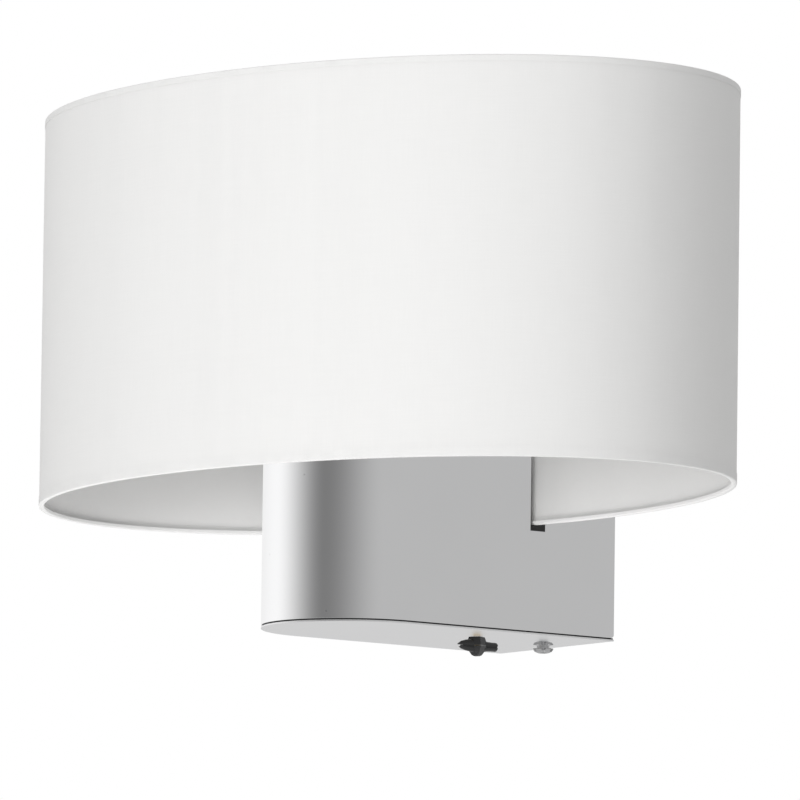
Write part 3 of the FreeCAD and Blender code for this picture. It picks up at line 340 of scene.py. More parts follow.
class Finish:
    """One procedural material."""

    def __init__(self, name, colour, roughness, **fixed):
        self.material = bpy.data.materials.new(name)
        self.material.use_nodes = True
        self.tree = self.material.node_tree
        self.shader = self.tree.nodes["Principled BSDF"]
        self.shader.inputs["Base Color"].default_value = (*colour, 1.0)
        self.shader.inputs["Roughness"].default_value = roughness
        for socket, value in fixed.items():
            self.shader.inputs[socket.replace("_", " ")].default_value = value

    def feed(self, socket, value):
        if isinstance(value, Number):
            self.tree.links.new(value.socket, socket)
        elif isinstance(value, (tuple, list)) and len(value) == 3 and socket.type == "RGBA":
            socket.default_value = (*value, 1.0)
        else:
            socket.default_value = value

    def node(self, kind, settings, *values, out=0, **named):
        """Any node: its settings first, then its sockets in order or by name."""
        made = self.tree.nodes.new(kind)
        for name, value in settings.items():
            if name == "stops":
                self.set_stops(made.color_ramp, value)
            else:
                setattr(made, name, value)
        for socket, value in zip(made.inputs, values):
            self.feed(socket, value)
        for name, value in named.items():
            self.feed(made.inputs[name.replace("_", " ")], value)
        return Number(self, made.outputs[out])

    @staticmethod
    def set_stops(ramp, stops):
        while len(ramp.elements) < len(stops):
            ramp.elements.new(1.0)
        for element, (place, grey) in zip(ramp.elements, stops):
            element.position = place
            element.color = (grey, grey, grey, 1.0)

    def place(self, *scale, source="Object"):
        """Coordinates on the piece in metres, each axis times its own scale."""
        made = self.tree.nodes.new("ShaderNodeTexCoord")
        return self.node("ShaderNodeVectorMath", {"operation": "MULTIPLY"},
                         Number(self, made.outputs[source]), tuple(scale))

    def noise(self, place, scale, detail=3.0, rough=0.5):
        return self.node("ShaderNodeTexNoise", {}, Vector=place, Scale=scale, Detail=detail,
                         Roughness=rough)

    def axis(self, place, name):
        """One coordinate of a place."""
        made = self.tree.nodes.new("ShaderNodeSeparateXYZ")
        self.tree.links.new(place.socket, made.inputs[0])
        return Number(self, made.outputs[name])

    def tint(self, share, light, dark):
        """Base colour between two tints."""
        mixed = self.node("ShaderNodeMix", {"data_type": "RGBA"}, share, out=2)
        made = mixed.socket.node
        made.inputs[6].default_value = (*dark, 1.0)
        made.inputs[7].default_value = (*light, 1.0)
        self.tree.links.new(mixed.socket, self.shader.inputs["Base Color"])

    def glow(self, colour, share):
        """Let that share of the light through from behind, as thin cloth or film does."""
        through = self.node("ShaderNodeBsdfTranslucent", {}, colour)
        mixed = self.node("ShaderNodeMixShader", {}, share, Number(self, self.shader.outputs[0]),
                          through)
        self.tree.links.new(mixed.socket, self.tree.nodes["Material Output"].inputs["Surface"])

    def roughen(self, value):
        self.tree.links.new(value.socket, self.shader.inputs["Roughness"])

    def bump(self, height, depth, strength=1.0):
        """Relief of a height from 0 to 1, that deep in metres."""
        made = self.node("ShaderNodeBump", {}, Strength=strength, Distance=depth, Height=height)
        self.tree.links.new(made.socket, self.shader.inputs["Normal"])


def darker(colour, share):
    return tuple(c * share for c in colour)


def woven_cloth(name, colour, pitch):
    """Plain weave: threads over and under each other, with slubs and uneven yarn."""
    cloth = Finish(name, colour, 0.9, Sheen_Weight=0.05, Sheen_Roughness=0.5,
                   Specular_IOR_Level=0.0)
    flat = cloth.place(1.0, 1.0, 1.0, source="UV")
    turn = 2 * math.pi / pitch
    wander = cloth.noise(cloth.place(90.0, 90.0, 1.0, source="UV"), 1.0, 2.0) * 0.9
    across = (cloth.axis(flat, "X") * turn + wander).sine()
    along = (cloth.axis(flat, "Y") * turn + wander).sine()
    weave = across * along * 0.5 + 0.5
    slub_up = cloth.noise(cloth.place(1 / pitch, 60.0, 1.0, source="UV"), 1.0, 2.0)
    slub_round = cloth.noise(cloth.place(60.0, 1 / pitch, 1.0, source="UV"), 1.0, 2.0)
    cloud = cloth.noise(cloth.place(9.0, 9.0, 1.0, source="UV"), 1.0, 2.0)
    share = weave * 0.3 + slub_up * 0.35 + slub_round * 0.35 + cloud * 0.1
    cloth.tint(share.clamped(), colour, darker(colour, 0.9))
    cloth.bump(weave * 0.6 + slub_up * 0.3 + slub_round * 0.3, 0.04 * MM, 0.5)
    cloth.glow(colour, 0.3)
    return cloth.material


def liner_film(colour):
    """Smooth film with the print of the weave behind it."""
    film = Finish("liner_film", colour, 0.62, Specular_IOR_Level=0.0)
    print_through = film.noise(film.place(700.0, 700.0, 700.0), 1.0, 2.0)
    cloud = film.noise(film.place(14.0, 14.0, 14.0), 1.0, 2.0)
    film.tint((print_through * 0.5 + cloud * 0.5).clamped(), colour, darker(colour, 0.93))
    film.bump(print_through, 0.03 * MM, 0.4)
    film.glow(colour, 0.35)
    return film.material


def polished_chrome(name, colour, haze=0.03):
    """Plated sheet with faint polishing lines, a little waviness and a few pits."""
    chrome = Finish(name, colour, haze, Metallic=1.0)
    lines = chrome.noise(chrome.place(30.0, 30.0, 2600.0), 1.0, 2.0)
    cloud = chrome.noise(chrome.place(30.0, 30.0, 30.0), 1.0, 2.0)
    pits = chrome.noise(chrome.place(420.0, 420.0, 420.0), 1.0, 1.0)
    pit = ((pits - 0.79) * 14.0).clamped()
    chrome.tint((1.0 - pit * 0.8 - cloud * 0.05).clamped(), colour, darker(colour, 0.35))
    chrome.roughen(haze + lines * 0.03 + cloud * 0.03 + pit * 0.3)
    chrome.bump(lines * 0.6 + cloud * 0.12 - pit, 0.004 * MM, 0.35)
    return chrome.material


def satin_chrome(colour):
    """Plate with a fine satin finish, faint cross marks and a soft cloudiness."""
    satin = Finish("satin_chrome", colour, 0.45, Metallic=1.0)
    grain = satin.noise(satin.place(2600.0, 260.0, 260.0), 1.0, 2.0)
    cloud = satin.noise(satin.place(45.0, 45.0, 45.0), 1.0, 3.0)
    satin.tint((0.55 + grain * 0.25 + cloud * 0.2).clamped(), colour, darker(colour, 0.86))
    satin.roughen(0.4 + grain * 0.06 + cloud * 0.06)
    satin.bump(grain, 0.006 * MM, 0.4)
    return satin.material


def plated_steel(colour):
    """Zinc plate with rolling lines and a cloudy passivation."""
    zinc = Finish("plated_steel", colour, 0.36, Metallic=1.0)
    lines = zinc.noise(zinc.place(1800.0, 60.0, 60.0), 1.0, 3.0)
    cloud = zinc.noise(zinc.place(60.0, 60.0, 60.0), 1.0, 4.0)
    zinc.tint((cloud * 0.9 + lines * 0.2).clamped(), colour, darker(colour, 0.78))
    zinc.roughen(0.26 + cloud * 0.2 + lines * 0.08)
    zinc.bump(lines, 0.01 * MM, 0.4)
    return zinc.material


def powder_coat(colour):
    """White paint with a fine orange peel."""
    paint = Finish("powder_coat", colour, 0.4)
    peel = paint.noise(paint.place(900.0, 900.0, 900.0), 1.0, 2.0)
    cloud = paint.noise(paint.place(40.0, 40.0, 40.0), 1.0, 2.0)
    paint.tint((cloud * 0.8 + 0.2).clamped(), colour, darker(colour, 0.93))
    paint.roughen(0.34 + peel * 0.14)
    paint.bump(peel, 0.02 * MM, 0.5)
    return paint.material


def moulded(name, colour, roughness, grain=0.012, gloss=0.5):
    """Moulded plastic with a fine spark grain and handling marks."""
    plastic = Finish(name, colour, roughness, Specular_IOR_Level=gloss)
    spark = plastic.noise(plastic.place(2400.0, 2400.0, 2400.0), 1.0, 2.0)
    marks = plastic.noise(plastic.place(120.0, 120.0, 120.0), 1.0, 4.0)
    plastic.tint((marks * 0.7 + spark * 0.3).clamped(), colour, darker(colour, 0.8))
    plastic.roughen(roughness - 0.06 + marks * 0.12)
    plastic.bump(spark, grain * MM, 0.5)
    return plastic.material


def worked_brass(colour):
    """Turned brass, a little dulled."""
    brass = Finish("worked_brass", colour, 0.28, Metallic=1.0)
    lines = brass.noise(brass.place(60.0, 60.0, 2400.0), 1.0, 2.0)
    dull = brass.noise(brass.place(150.0, 150.0, 150.0), 1.0, 4.0)
    brass.tint((dull * 0.9 + 0.1).clamped(), colour, darker(colour, 0.62))
    brass.roughen(0.2 + dull * 0.2 + lines * 0.06)
    brass.bump(lines, 0.008 * MM, 0.5)
    return brass.material


def make_finishes(scene):
    """All finishes by the record's slot."""
    shade, body, holder = scene.light_shade, scene.light_body, scene.light_holder
    black = tuple(scene.light_switch.black)
    return {
        "white_cloth": woven_cloth("woven_cloth", tuple(shade.cloth_colour), shade.weave),
        "white_liner": liner_film(tuple(shade.liner_colour)),
        "polished_chrome": polished_chrome("polished_chrome", tuple(body.chrome)),
        "satin_chrome": satin_chrome(tuple(body.satin)),
        "zinc_steel": plated_steel(tuple(holder.zinc)),
        "white_metal": powder_coat(tuple(holder.paint)),
        "white_plastic": moulded("lampholder_plastic", tuple(holder.plastic), 0.32),
        "ceramic": moulded("ceramic_insert", tuple(holder.ceramic), 0.6, 0.03),
        "brass": worked_brass(tuple(holder.brass)),
        "black_plastic": moulded("black_plastic", black, 0.36, 0.02, 0.3),
        "machined_nut": polished_chrome("machined_nut", tuple(body.nut), 0.16),
        # dark_rubber colours the grommet and the gasket. The gasket's black line is painted shadow: it
        # stands for the shade in the gap between shell and plate.
        "dark_rubber": moulded("dark_rubber", tuple(body.rubber_and_painted_shadow), 0.75, 0.03),
        "clear_nylon": moulded("natural_nylon", (0.74, 0.73, 0.7), 0.45),
        "lead_sleeve": moulded("silicone_sleeve", tuple(holder.sleeve), 0.55),
    }


FINISHES = {}


# ----------------------------------------------------------------- the shade

def shade_centre():
    return node_middle("shade_liner")[:2]


def oval_radii(shade, inward):
    """Half width and half depth of the oval that far inside the cover's face."""
    return shade.width / 2 - inward, shade.depth / 2 - inward


def oval_rings(shade, outline):
    """Rings of a wall from (inward, height) points."""
    return [(*oval_radii(shade, inward), height) for inward, height in outline]


def arc_lengths(half_wide, half_deep, count=720):
    """Distance round the oval to each of count equal steps of its parameter."""
    total, before, lengths = 0.0, Vector((half_wide, 0.0)), [0.0]
    for i in range(1, count + 1):
        turn = 2 * math.pi * i / count
        here = Vector((half_wide * math.cos(turn), half_deep * math.sin(turn)))
        total += (here - before).length
        lengths.append(total)
        before = here
    return lengths


def map_cloth(piece, centre, radii):
    """UV in metres: the distance round the oval, from its back, and the height."""
    lengths = arc_lengths(*radii)
    count = len(lengths) - 1
    layer = piece.data.uv_layers.active or piece.data.uv_layers.new(name="cloth")

    def share(place):
        turn = math.atan2((place.y - centre[1]) / radii[1], (place.x - centre[0]) / radii[0])
        return (turn / (2 * math.pi) - 0.25) % 1.0

    def distance(part):
        step = part * count
        low = min(int(step), count - 1)
        return lengths[low] + (lengths[low + 1] - lengths[low]) * (step - low)

    for face in piece.data.polygons:
        middle = share(face.center)
        for loop in face.loop_indices:
            place = piece.data.vertices[piece.data.loops[loop].vertex_index].co
            part = share(place)
            if part - middle > 0.5:
                part -= 1.0
            if middle - part > 0.5:
                part += 1.0
            around = distance(part % 1.0) + lengths[-1] * math.floor(part)
            layer.data[loop].uv = (around, place.z)


class WALLLIGHT_OT_shade_cloth(Operator):
    """Model the woven cover, its two rolled hems and the overlap at its back"""
    bl_idname = "wall_light.shade_cloth"
    bl_label = "Woven cover and hems"

    def execute(self, context):
        shade = context.scene.light_shade
        centre = shade_centre()
        low, high = (corner[2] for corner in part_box("shade_cover"))
        radii = oval_radii(shade, 0.0)
        rows = 12
        levels = [low + (high - low) * i / rows for i in range(rows + 1)]
        outline = [(0.0, z) for z in levels] + [(shade.cloth, z) for z in reversed(levels)]
        cover = sweep("woven_cover", centre, oval_rings(shade, outline), shade.steps)
        smooth(cover)
        map_cloth(cover, centre, radii)
        dress(cover, FINISHES["white_cloth"], replaces=["shade_cover"],
              mirrored=False)

        for name, node, strip, side in (("lower_hem", "hem_lower", "rim_strip_lower", 1),
                                        ("upper_hem", "hem_upper", "rim_strip_upper", -1)):
            bottom, top = (corner[2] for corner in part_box(node))
            rim, edge = (bottom, top) if side > 0 else (top, bottom)
            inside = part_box(strip)[1 if side > 0 else 0][2]
            hem = self.roll(shade, name, centre, rim, edge, inside, side)
            map_cloth(hem, centre, radii)
            dress(hem, FINISHES["white_cloth"], replaces=[node], mirrored=False)

        lap = self.overlap(shade, centre)
        map_cloth(lap, centre, radii)
        dress(lap, FINISHES["white_cloth"], replaces=["cover_seam"],
              mirrored=False)
        arc_lengths(*radii)[-1]
        return {"FINISHED"}

    @staticmethod
    def roll(shade, name, centre, rim, edge, inside, side):
        """Cloth turned round the rim strip: outside, over the rim and up again inside."""
        cloth, stand = shade.hem_cloth, shade.hem_stand
        strip = shade.cloth + shade.liner + shade.strip
        outer, inner = -stand, strip + cloth
        middle, bend = (inner + outer) / 2, (inner - outer) / 2
        outline = [(0.0, edge), (outer, edge)]
        for i in range(9):
            turn = math.pi * i / 8
            lift = cloth * 1.6 * (1 - math.sin(turn) ** 0.6)
            outline.append((middle - bend * math.cos(turn), rim + side * lift))
        outline += [(inner, inside), (strip, inside), (strip, rim + side * cloth)]
        outline.append((0.0, rim + side * cloth))
        hem = sweep(name, centre, oval_rings(shade, outline), shade.steps)
        smooth(hem, 50.0)
        return hem

    @staticmethod
    def overlap(shade, centre):
        """The free edge of the cloth, stuck down over the other one."""
        low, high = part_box("cover_seam")
        half = (high[0] - low[0]) / 2
        lap = begin("cover_overlap", bpy.ops.mesh.primitive_grid_add, x_subdivisions=16,
                    y_subdivisions=24, size=1.0)
        bpy.ops.transform.resize(value=(half * 2, high[2] - low[2], 1.0),
                                 center_override=(0, 0, 0))
        bpy.ops.transform.rotate(value=math.radians(90), orient_axis="X",
                                 center_override=(0, 0, 0))
        object_mode()
        wide, deep = oval_radii(shade, 0.02 * MM)
        for point in lap.data.vertices:
            across = point.co.x
            point.co = (centre[0] + across,
                        centre[1] + deep * math.sqrt(1 - (across / wide) ** 2),
                        (low[2] + high[2]) / 2 + point.co.z)
        modify(lap, "SOLIDIFY", thickness=0.34 * MM, offset=0.0)
        bpy.ops.object.mode_set(mode="EDIT")
        close_mesh()
        object_mode()
        lap.data.transform(Matrix.Translation((0.0, 0.17 * MM, 0.0)))
        smooth(lap)
        return lap


class WALLLIGHT_OT_shade_liner(Operator):
    """Model the smooth film that the cloth is laid on"""
    bl_idname = "wall_light.shade_liner"
    bl_label = "Liner"

    def execute(self, context):
        shade = context.scene.light_shade
        low, high = (corner[2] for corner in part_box("shade_liner"))
        rows = 8
        levels = [low + (high - low) * i / rows for i in range(rows + 1)]
        outer, inner = shade.cloth, shade.cloth + shade.liner
        outline = [(outer, z) for z in levels] + [(inner, z) for z in reversed(levels)]
        film = sweep("film_liner", shade_centre(), oval_rings(shade, outline), shade.steps)
        smooth(film)
        dress(film, FINISHES["white_liner"], replaces=["shade_liner"],
              mirrored=False)
        return {"FINISHED"}


class WALLLIGHT_OT_shade_frame(Operator):
    """Model the steel strips in the two hems and the washer with arms that carries the shade"""
    bl_idname = "wall_light.shade_frame"
    bl_label = "Rim strips and spider"

    def execute(self, context):
        shade = context.scene.light_shade
        outer = shade.cloth + shade.liner
        inner, soft = outer + shade.strip, 0.25 * MM
        for name, node in (("lower_strip", "rim_strip_lower"), ("upper_strip", "rim_strip_upper")):
            low, high = (corner[2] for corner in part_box(node))
            outline = [(outer, low), (outer, high), (inner - soft, high), (inner, high - soft),
                       (inner, low + soft), (inner - soft, low)]
            strip = sweep(name, shade_centre(), oval_rings(shade, outline), shade.steps)
            smooth(strip)
            dress(strip, FINISHES["zinc_steel"], replaces=[node], mirrored=False)
        self.spider(shade.strip_step)
        return {"FINISHED"}

    @staticmethod
    def spider(step):
        """Washer with four wires that run out, bend up and end beside the upper rim."""
        low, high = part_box("shade_spider")
        centre = node_middle("shade_spider")[:2]
        sheet, wire, bend = 1.6 * MM, 1.6 * MM, 6.0 * MM
        outer = node_size("seat_ring")[0] / 2 + 2.0 * MM
        hole = node_size("holder_cap")[0] / 2 + 0.2 * MM
        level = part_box("seat_ring")[1][2] + sheet / 2
        soft = 0.3 * MM
        profile = [(hole, level - sheet / 2), (outer - soft, level - sheet / 2),
                   (outer, level - sheet / 2 + soft), (outer, level + sheet / 2 - soft),
                   (outer - soft, level + sheet / 2), (hole, level + sheet / 2)]
        parts = [turned("spider_washer", centre, profile, 96)]
        top = high[2]
        for i in range(4):
            turn = math.pi / 2 * i
            reach = (high[0] - low[0] if i % 2 == 0 else high[1] - low[1]) / 2 - wire + step
            arm = begin("spider_arm", bpy.ops.mesh.primitive_circle_add, vertices=16,
                        radius=wire, fill_type="NGON", rotation=(0.0, math.pi / 2, 0.0))
            bpy.ops.transform.translate(value=(outer - 3.0 * MM, 0.0, level))
            bpy.ops.mesh.extrude_region_move()
            bpy.ops.transform.translate(value=(reach - bend - outer + 3.0 * MM, 0.0, 0.0))
            for _ in range(6):
                bpy.ops.mesh.extrude_region_move()
                bpy.ops.transform.rotate(value=math.radians(15), orient_axis="Y",
                                         center_override=(reach - bend, 0.0, level + bend))
            bpy.ops.mesh.extrude_region_move()
            bpy.ops.transform.translate(value=(0.0, 0.0, top - level - bend))
            bpy.ops.mesh.select_all(action="SELECT")
            bpy.ops.transform.rotate(value=-turn, orient_axis="Z", center_override=(0, 0, 0))
            bpy.ops.transform.translate(value=(centre[0], centre[1], 0.0))
            close_mesh()
            parts.append(arm)
        spider = join("wire_spider", parts)
        smooth(spider, 40.0)
        dress(spider, FINISHES["white_metal"], replaces=["shade_spider"],
              mirrored=False)


# ------------------------------------------------------------------ the body

def bullet_outline(name, body, half, tip, back, level, filled):
    """Plan outline with a half-round nose, open for editing with all of it selected."""
    turn = tip + half
    piece = begin(name, bpy.ops.mesh.primitive_circle_add, vertices=body.steps * 2,
                  radius=half, location=(0.0, turn, level))
    select(piece, "VERT", lambda point: point.co.y > turn + NEAR)
    bpy.ops.mesh.delete(type="VERT")
    select(piece, "VERT", lambda point: point.co.y > turn - NEAR)
    bpy.ops.mesh.extrude_vertices_move()
    bpy.ops.transform.translate(value=(0.0, back - turn, 0.0))
    if filled:
        bpy.ops.mesh.select_all(action="SELECT")
        bpy.ops.mesh.edge_face_add()
    bpy.ops.mesh.select_all(action="SELECT")
    return piece


class WALLLIGHT_OT_body_shell(Operator):
    """Model the bent side panels and nose with the two slots for the shade"""
    bl_idname = "wall_light.body_shell"
    bl_label = "Polished shell"

    def execute(self, context):
        body = context.scene.light_body
        low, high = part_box("body_shell")
        shell = bullet_outline("polished_shell", body, high[0], low[1], high[1], low[2], False)
        bpy.ops.mesh.extrude_region_move()
        bpy.ops.transform.translate(value=(0.0, 0.0, high[2] - low[2]))
        bpy.ops.mesh.select_all(action="SELECT")
        bpy.ops.mesh.normals_make_consistent(inside=False)
        if self.faces_inward(shell):
            bpy.ops.mesh.flip_normals()
        modify(shell, "SOLIDIFY", thickness=body.wall, offset=-1.0, use_even_offset=True)
        over = 1.0 * MM
        cutters = []
        for side, pad in ((1, "slot_pad_right"), (-1, "slot_pad_left")):
            pad_low, pad_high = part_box(pad)
            floor = self.slot_floor(pad)
            corners = [side * (high[0] + over), side * (high[0] - body.wall - over)]
            cutters.append(block("slot_cutter", (min(corners), pad_low[1], floor),
                                 (max(corners), pad_high[1], high[2] + over)))
        carve(shell, cutters)
        self.soften(shell, body, low, high)
        round_edges(shell, body.edge, above=50.0)
        dress(shell, FINISHES["polished_chrome"], replaces=["body_shell"])
        return {"FINISHED"}

    @staticmethod
    def soften(shell, body, low, high):
        """Round the lower back corners of the panels."""
        bpy.ops.object.mode_set(mode="EDIT")
        select(shell, "EDGE", lambda edge: all(
            point.co.y > high[1] - NEAR and point.co.z < low[2] + NEAR for point in edge.verts))
        bpy.ops.mesh.bevel(offset=body.corner, segments=5, affect="EDGES")
        object_mode()

    @staticmethod
    def faces_inward(shell):
        mesh = bmesh.from_edit_mesh(shell.data)
        middle = Vector((0.0, -0.07, 0.0))
        return sum((f.calc_center_median() - middle).dot(f.normal) for f in mesh.faces) < 0

    @staticmethod
    def slot_floor(pad):
        """Height of the slot's floor: the lip's top is the pad's top less its thickness."""
        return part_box(pad)[1][2] - PAD_THICKNESS


class WALLLIGHT_OT_bottom_plate(Operator):
    """Model the plate under the shell, with holes for the fixing stud and the switch's bush"""
    bl_idname = "wall_light.bottom_plate"
    bl_label = "Bottom plate"

    def execute(self, context):
        body = context.scene.light_body
        low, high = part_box("bottom_plate")
        plate = bullet_outline("bottom_lid", body, high[0], low[1], high[1], high[2], True)
        bpy.ops.mesh.extrude_region_move()
        bpy.ops.transform.translate(value=(0.0, 0.0, low[2] - high[2]))
        close_mesh()
        cutters = []
        for node, gap in (("fixing_stud", 0.05), ("switch_bush", 0.05)):
            middle = node_middle(node)
            radius = node_size(node)[0] / 2 + gap * MM
            cutters.append(turned("plate_cutter", middle[:2],
                                  [(radius, low[2] - MM), (radius, high[2] + MM)], 48, True))
        carve(plate, cutters)
        object_mode()
        round_edges(plate, body.plate_edge * 0.6, segments=3)
        dress(plate, FINISHES["satin_chrome"], replaces=["bottom_plate"])
        return {"FINISHED"}


# -------------------------------------------------------- knob and fixing nut

class WALLLIGHT_OT_knob(Operator):
    """Model the winged knob of the switch"""
    bl_idname = "wall_light.knob"
    bl_label = "Winged knob"

    def execute(self, context):
        switch = context.scene.light_switch
        low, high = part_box("switch_knob")
        centre = node_middle("switch_knob")
        height = high[2] - low[2]
        reach = (high[1] - low[1]) / 2
        hub = (high[0] - low[0]) / 2
        core = self.hub(centre, hub, low[2], height)
        wings = [self.wing(centre, reach, low[2], height, hub, side) for side in (-1, 1)]
        level = low[2] + height * 0.55
        fork = block("fork", (-hub, centre[1] - reach - MM, level - 0.75 * MM),
                     (hub + 2 * centre[0], centre[1] - reach + 1.7 * MM, level + 0.05 * MM))
        carve(wings[0], [fork])
        knob = join("winged_knob", [core] + wings)
        round_edges(knob, switch.corner, segments=2, above=26.0)
        dress(knob, FINISHES["black_plastic"], "switch_rotor",
              replaces=["switch_knob"], mirrored=False)
        return {"FINISHED"}

    @staticmethod
    def hub(centre, hub, low, height):
        """Four-sided hub, narrow at both ends, with a groove round its middle."""
        rings = ((0.32, 0.0), (0.52, 0.05), (0.8, 0.24), (1.08, 0.46), (1.1, 0.52),
                 (0.92, 0.55), (1.1, 0.58), (1.08, 0.64), (0.86, 1.0), (0.8, 1.03))
        core = turned("knob_core", centre[:2],
                      [(hub * wide, low + height * up) for wide, up in rings], 4, True)
        bpy.ops.mesh.select_all(action="SELECT")
        bpy.ops.transform.rotate(value=math.radians(17), orient_axis="Z",
                                 center_override=(centre[0], centre[1], 0.0))
        object_mode()
        return core

    @staticmethod
    def wing(centre, reach, low, height, hub, side):
        """One wing: thick and blunt towards the wall, slim and tapered outwards."""
        start = 0.1 * hub
        stations = ((0.0, 0.8, 0.56), (0.3, 0.62, 0.54), (0.5, 0.53, 0.53), (0.75, 0.49, 0.52),
                    (1.0, 0.49, 0.5))
        if side < 0:
            stations = ((0.0, 0.8, 0.54), (0.35, 0.66, 0.46), (0.6, 0.58, 0.4),
                        (0.84, 0.42, 0.32), (1.0, 0.16, 0.2))
        level = low + height * 0.55
        piece = begin("wing", bpy.ops.mesh.primitive_circle_add, vertices=16, radius=1.0,
                      fill_type="NGON", rotation=(math.pi / 2, 0.0, 0.0))
        select(piece, "VERT", lambda point: abs(point.co.x) > 0.99)
        bpy.ops.transform.resize(value=(0.74, 1.0, 1.0), center_override=(0, 0, 0))
        bpy.ops.mesh.select_all(action="SELECT")
        half_high, half_wide = height * stations[0][1] / 2, hub * stations[0][2]
        bpy.ops.transform.resize(value=(half_wide, 1.0, half_high), center_override=(0, 0, 0))
        bpy.ops.transform.translate(value=(centre[0], centre[1] + side * start, level))
        before = start
        for share, tall, wide in stations[1:]:
            here = start + (reach - start) * share
            bpy.ops.mesh.extrude_region_move()
            bpy.ops.transform.translate(value=(0.0, side * (here - before), 0.0))
            new_high, new_wide = height * tall / 2, hub * wide
            bpy.ops.transform.resize(value=(new_wide / half_wide, 1.0, new_high / half_high),
                                     center_override=(centre[0], centre[1], level))
            half_high, half_wide, before = new_high, new_wide, here
        close_mesh()
        object_mode()
        return piece


class WALLLIGHT_OT_switch_bush(Operator):
    """Model the plated bush that the switch's shaft comes out of"""
    bl_idname = "wall_light.switch_bush"
    bl_label = "Switch bush"

    def execute(self, context):
        low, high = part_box("switch_bush")
        outer = (high[0] - low[0]) / 2
        inner = node_size("switch_shaft")[0] / 2 + 0.05 * MM
        soft, groove = 0.12 * MM, 0.22 * MM
        profile = [(inner, low[2]), (outer - soft, low[2]), (outer, low[2] + soft)]
        for i in range(3):
            z = low[2] + (0.45 + i * 0.5) * MM
            profile += [(outer, z), (outer - groove, z + 0.2 * MM), (outer, z + 0.4 * MM)]
        profile += [(outer, high[2] - soft), (outer - soft, high[2]), (inner, high[2])]
        bush = turned("plated_bush", node_middle("switch_bush")[:2], profile, 64)
        smooth(bush)
        dress(bush, FINISHES["satin_chrome"], replaces=["switch_bush"], mirrored=False)
        return {"FINISHED"}


class WALLLIGHT_OT_crown_nut(Operator):
    """Model the castellated nut with its two notched flanges"""
    bl_idname = "wall_light.crown_nut"
    bl_label = "Castellated nut"

    def execute(self, context):
        low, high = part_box("crown_nut")
        centre = node_middle("crown_nut")[:2]
        wide = (high[1] - low[1]) / 2
        bore, neck = 2.05 * MM, 2.6 * MM
        tall = high[2] - low[2]
        rings = ((0.55, 0.0), (0.86, 0.12), (1.0, 0.3), (1.0, 0.4), (0.9, 0.43), (0.9, 0.67),
                 (1.0, 0.7), (1.0, 0.78), (0.88, 0.92), (0.62, 1.0))
        profile = [(neck if 0.41 < up < 0.69 else wide * share, low[2] + tall * up)
                   for share, up in rings]
        profile = [(bore, low[2])] + profile + [(bore, high[2])]
        nut = turned("castellated_nut", centre, profile, 120)
        object_mode()
        self.notch(nut, centre, neck)
        round_edges(nut, 0.1 * MM, segments=2, above=35.0)
        dress(nut, FINISHES["machined_nut"], replaces=["crown_nut"],
              mirrored=False)
        return {"FINISHED"}

    @staticmethod
    def notch(nut, centre, neck):
        """Draw the rims in to the neck at six places, one of them towards the room."""
        spacing, first, half_notch = 60.0, -37.0, 10.6
        for point in nut.data.vertices:
            away = Vector((point.co.x - centre[0], point.co.y - centre[1]))
            turn = math.degrees(math.atan2(away.y, away.x)) - first
            turn = (turn + spacing / 2) % spacing - spacing / 2
            if away.length > neck + 0.05 * MM and abs(turn) < half_notch:
                away *= (neck + 0.03 * MM) / away.length
                point.co.x, point.co.y = centre[0] + away.x, centre[1] + away.y


# ------------------------------------------------------------ the lampholder

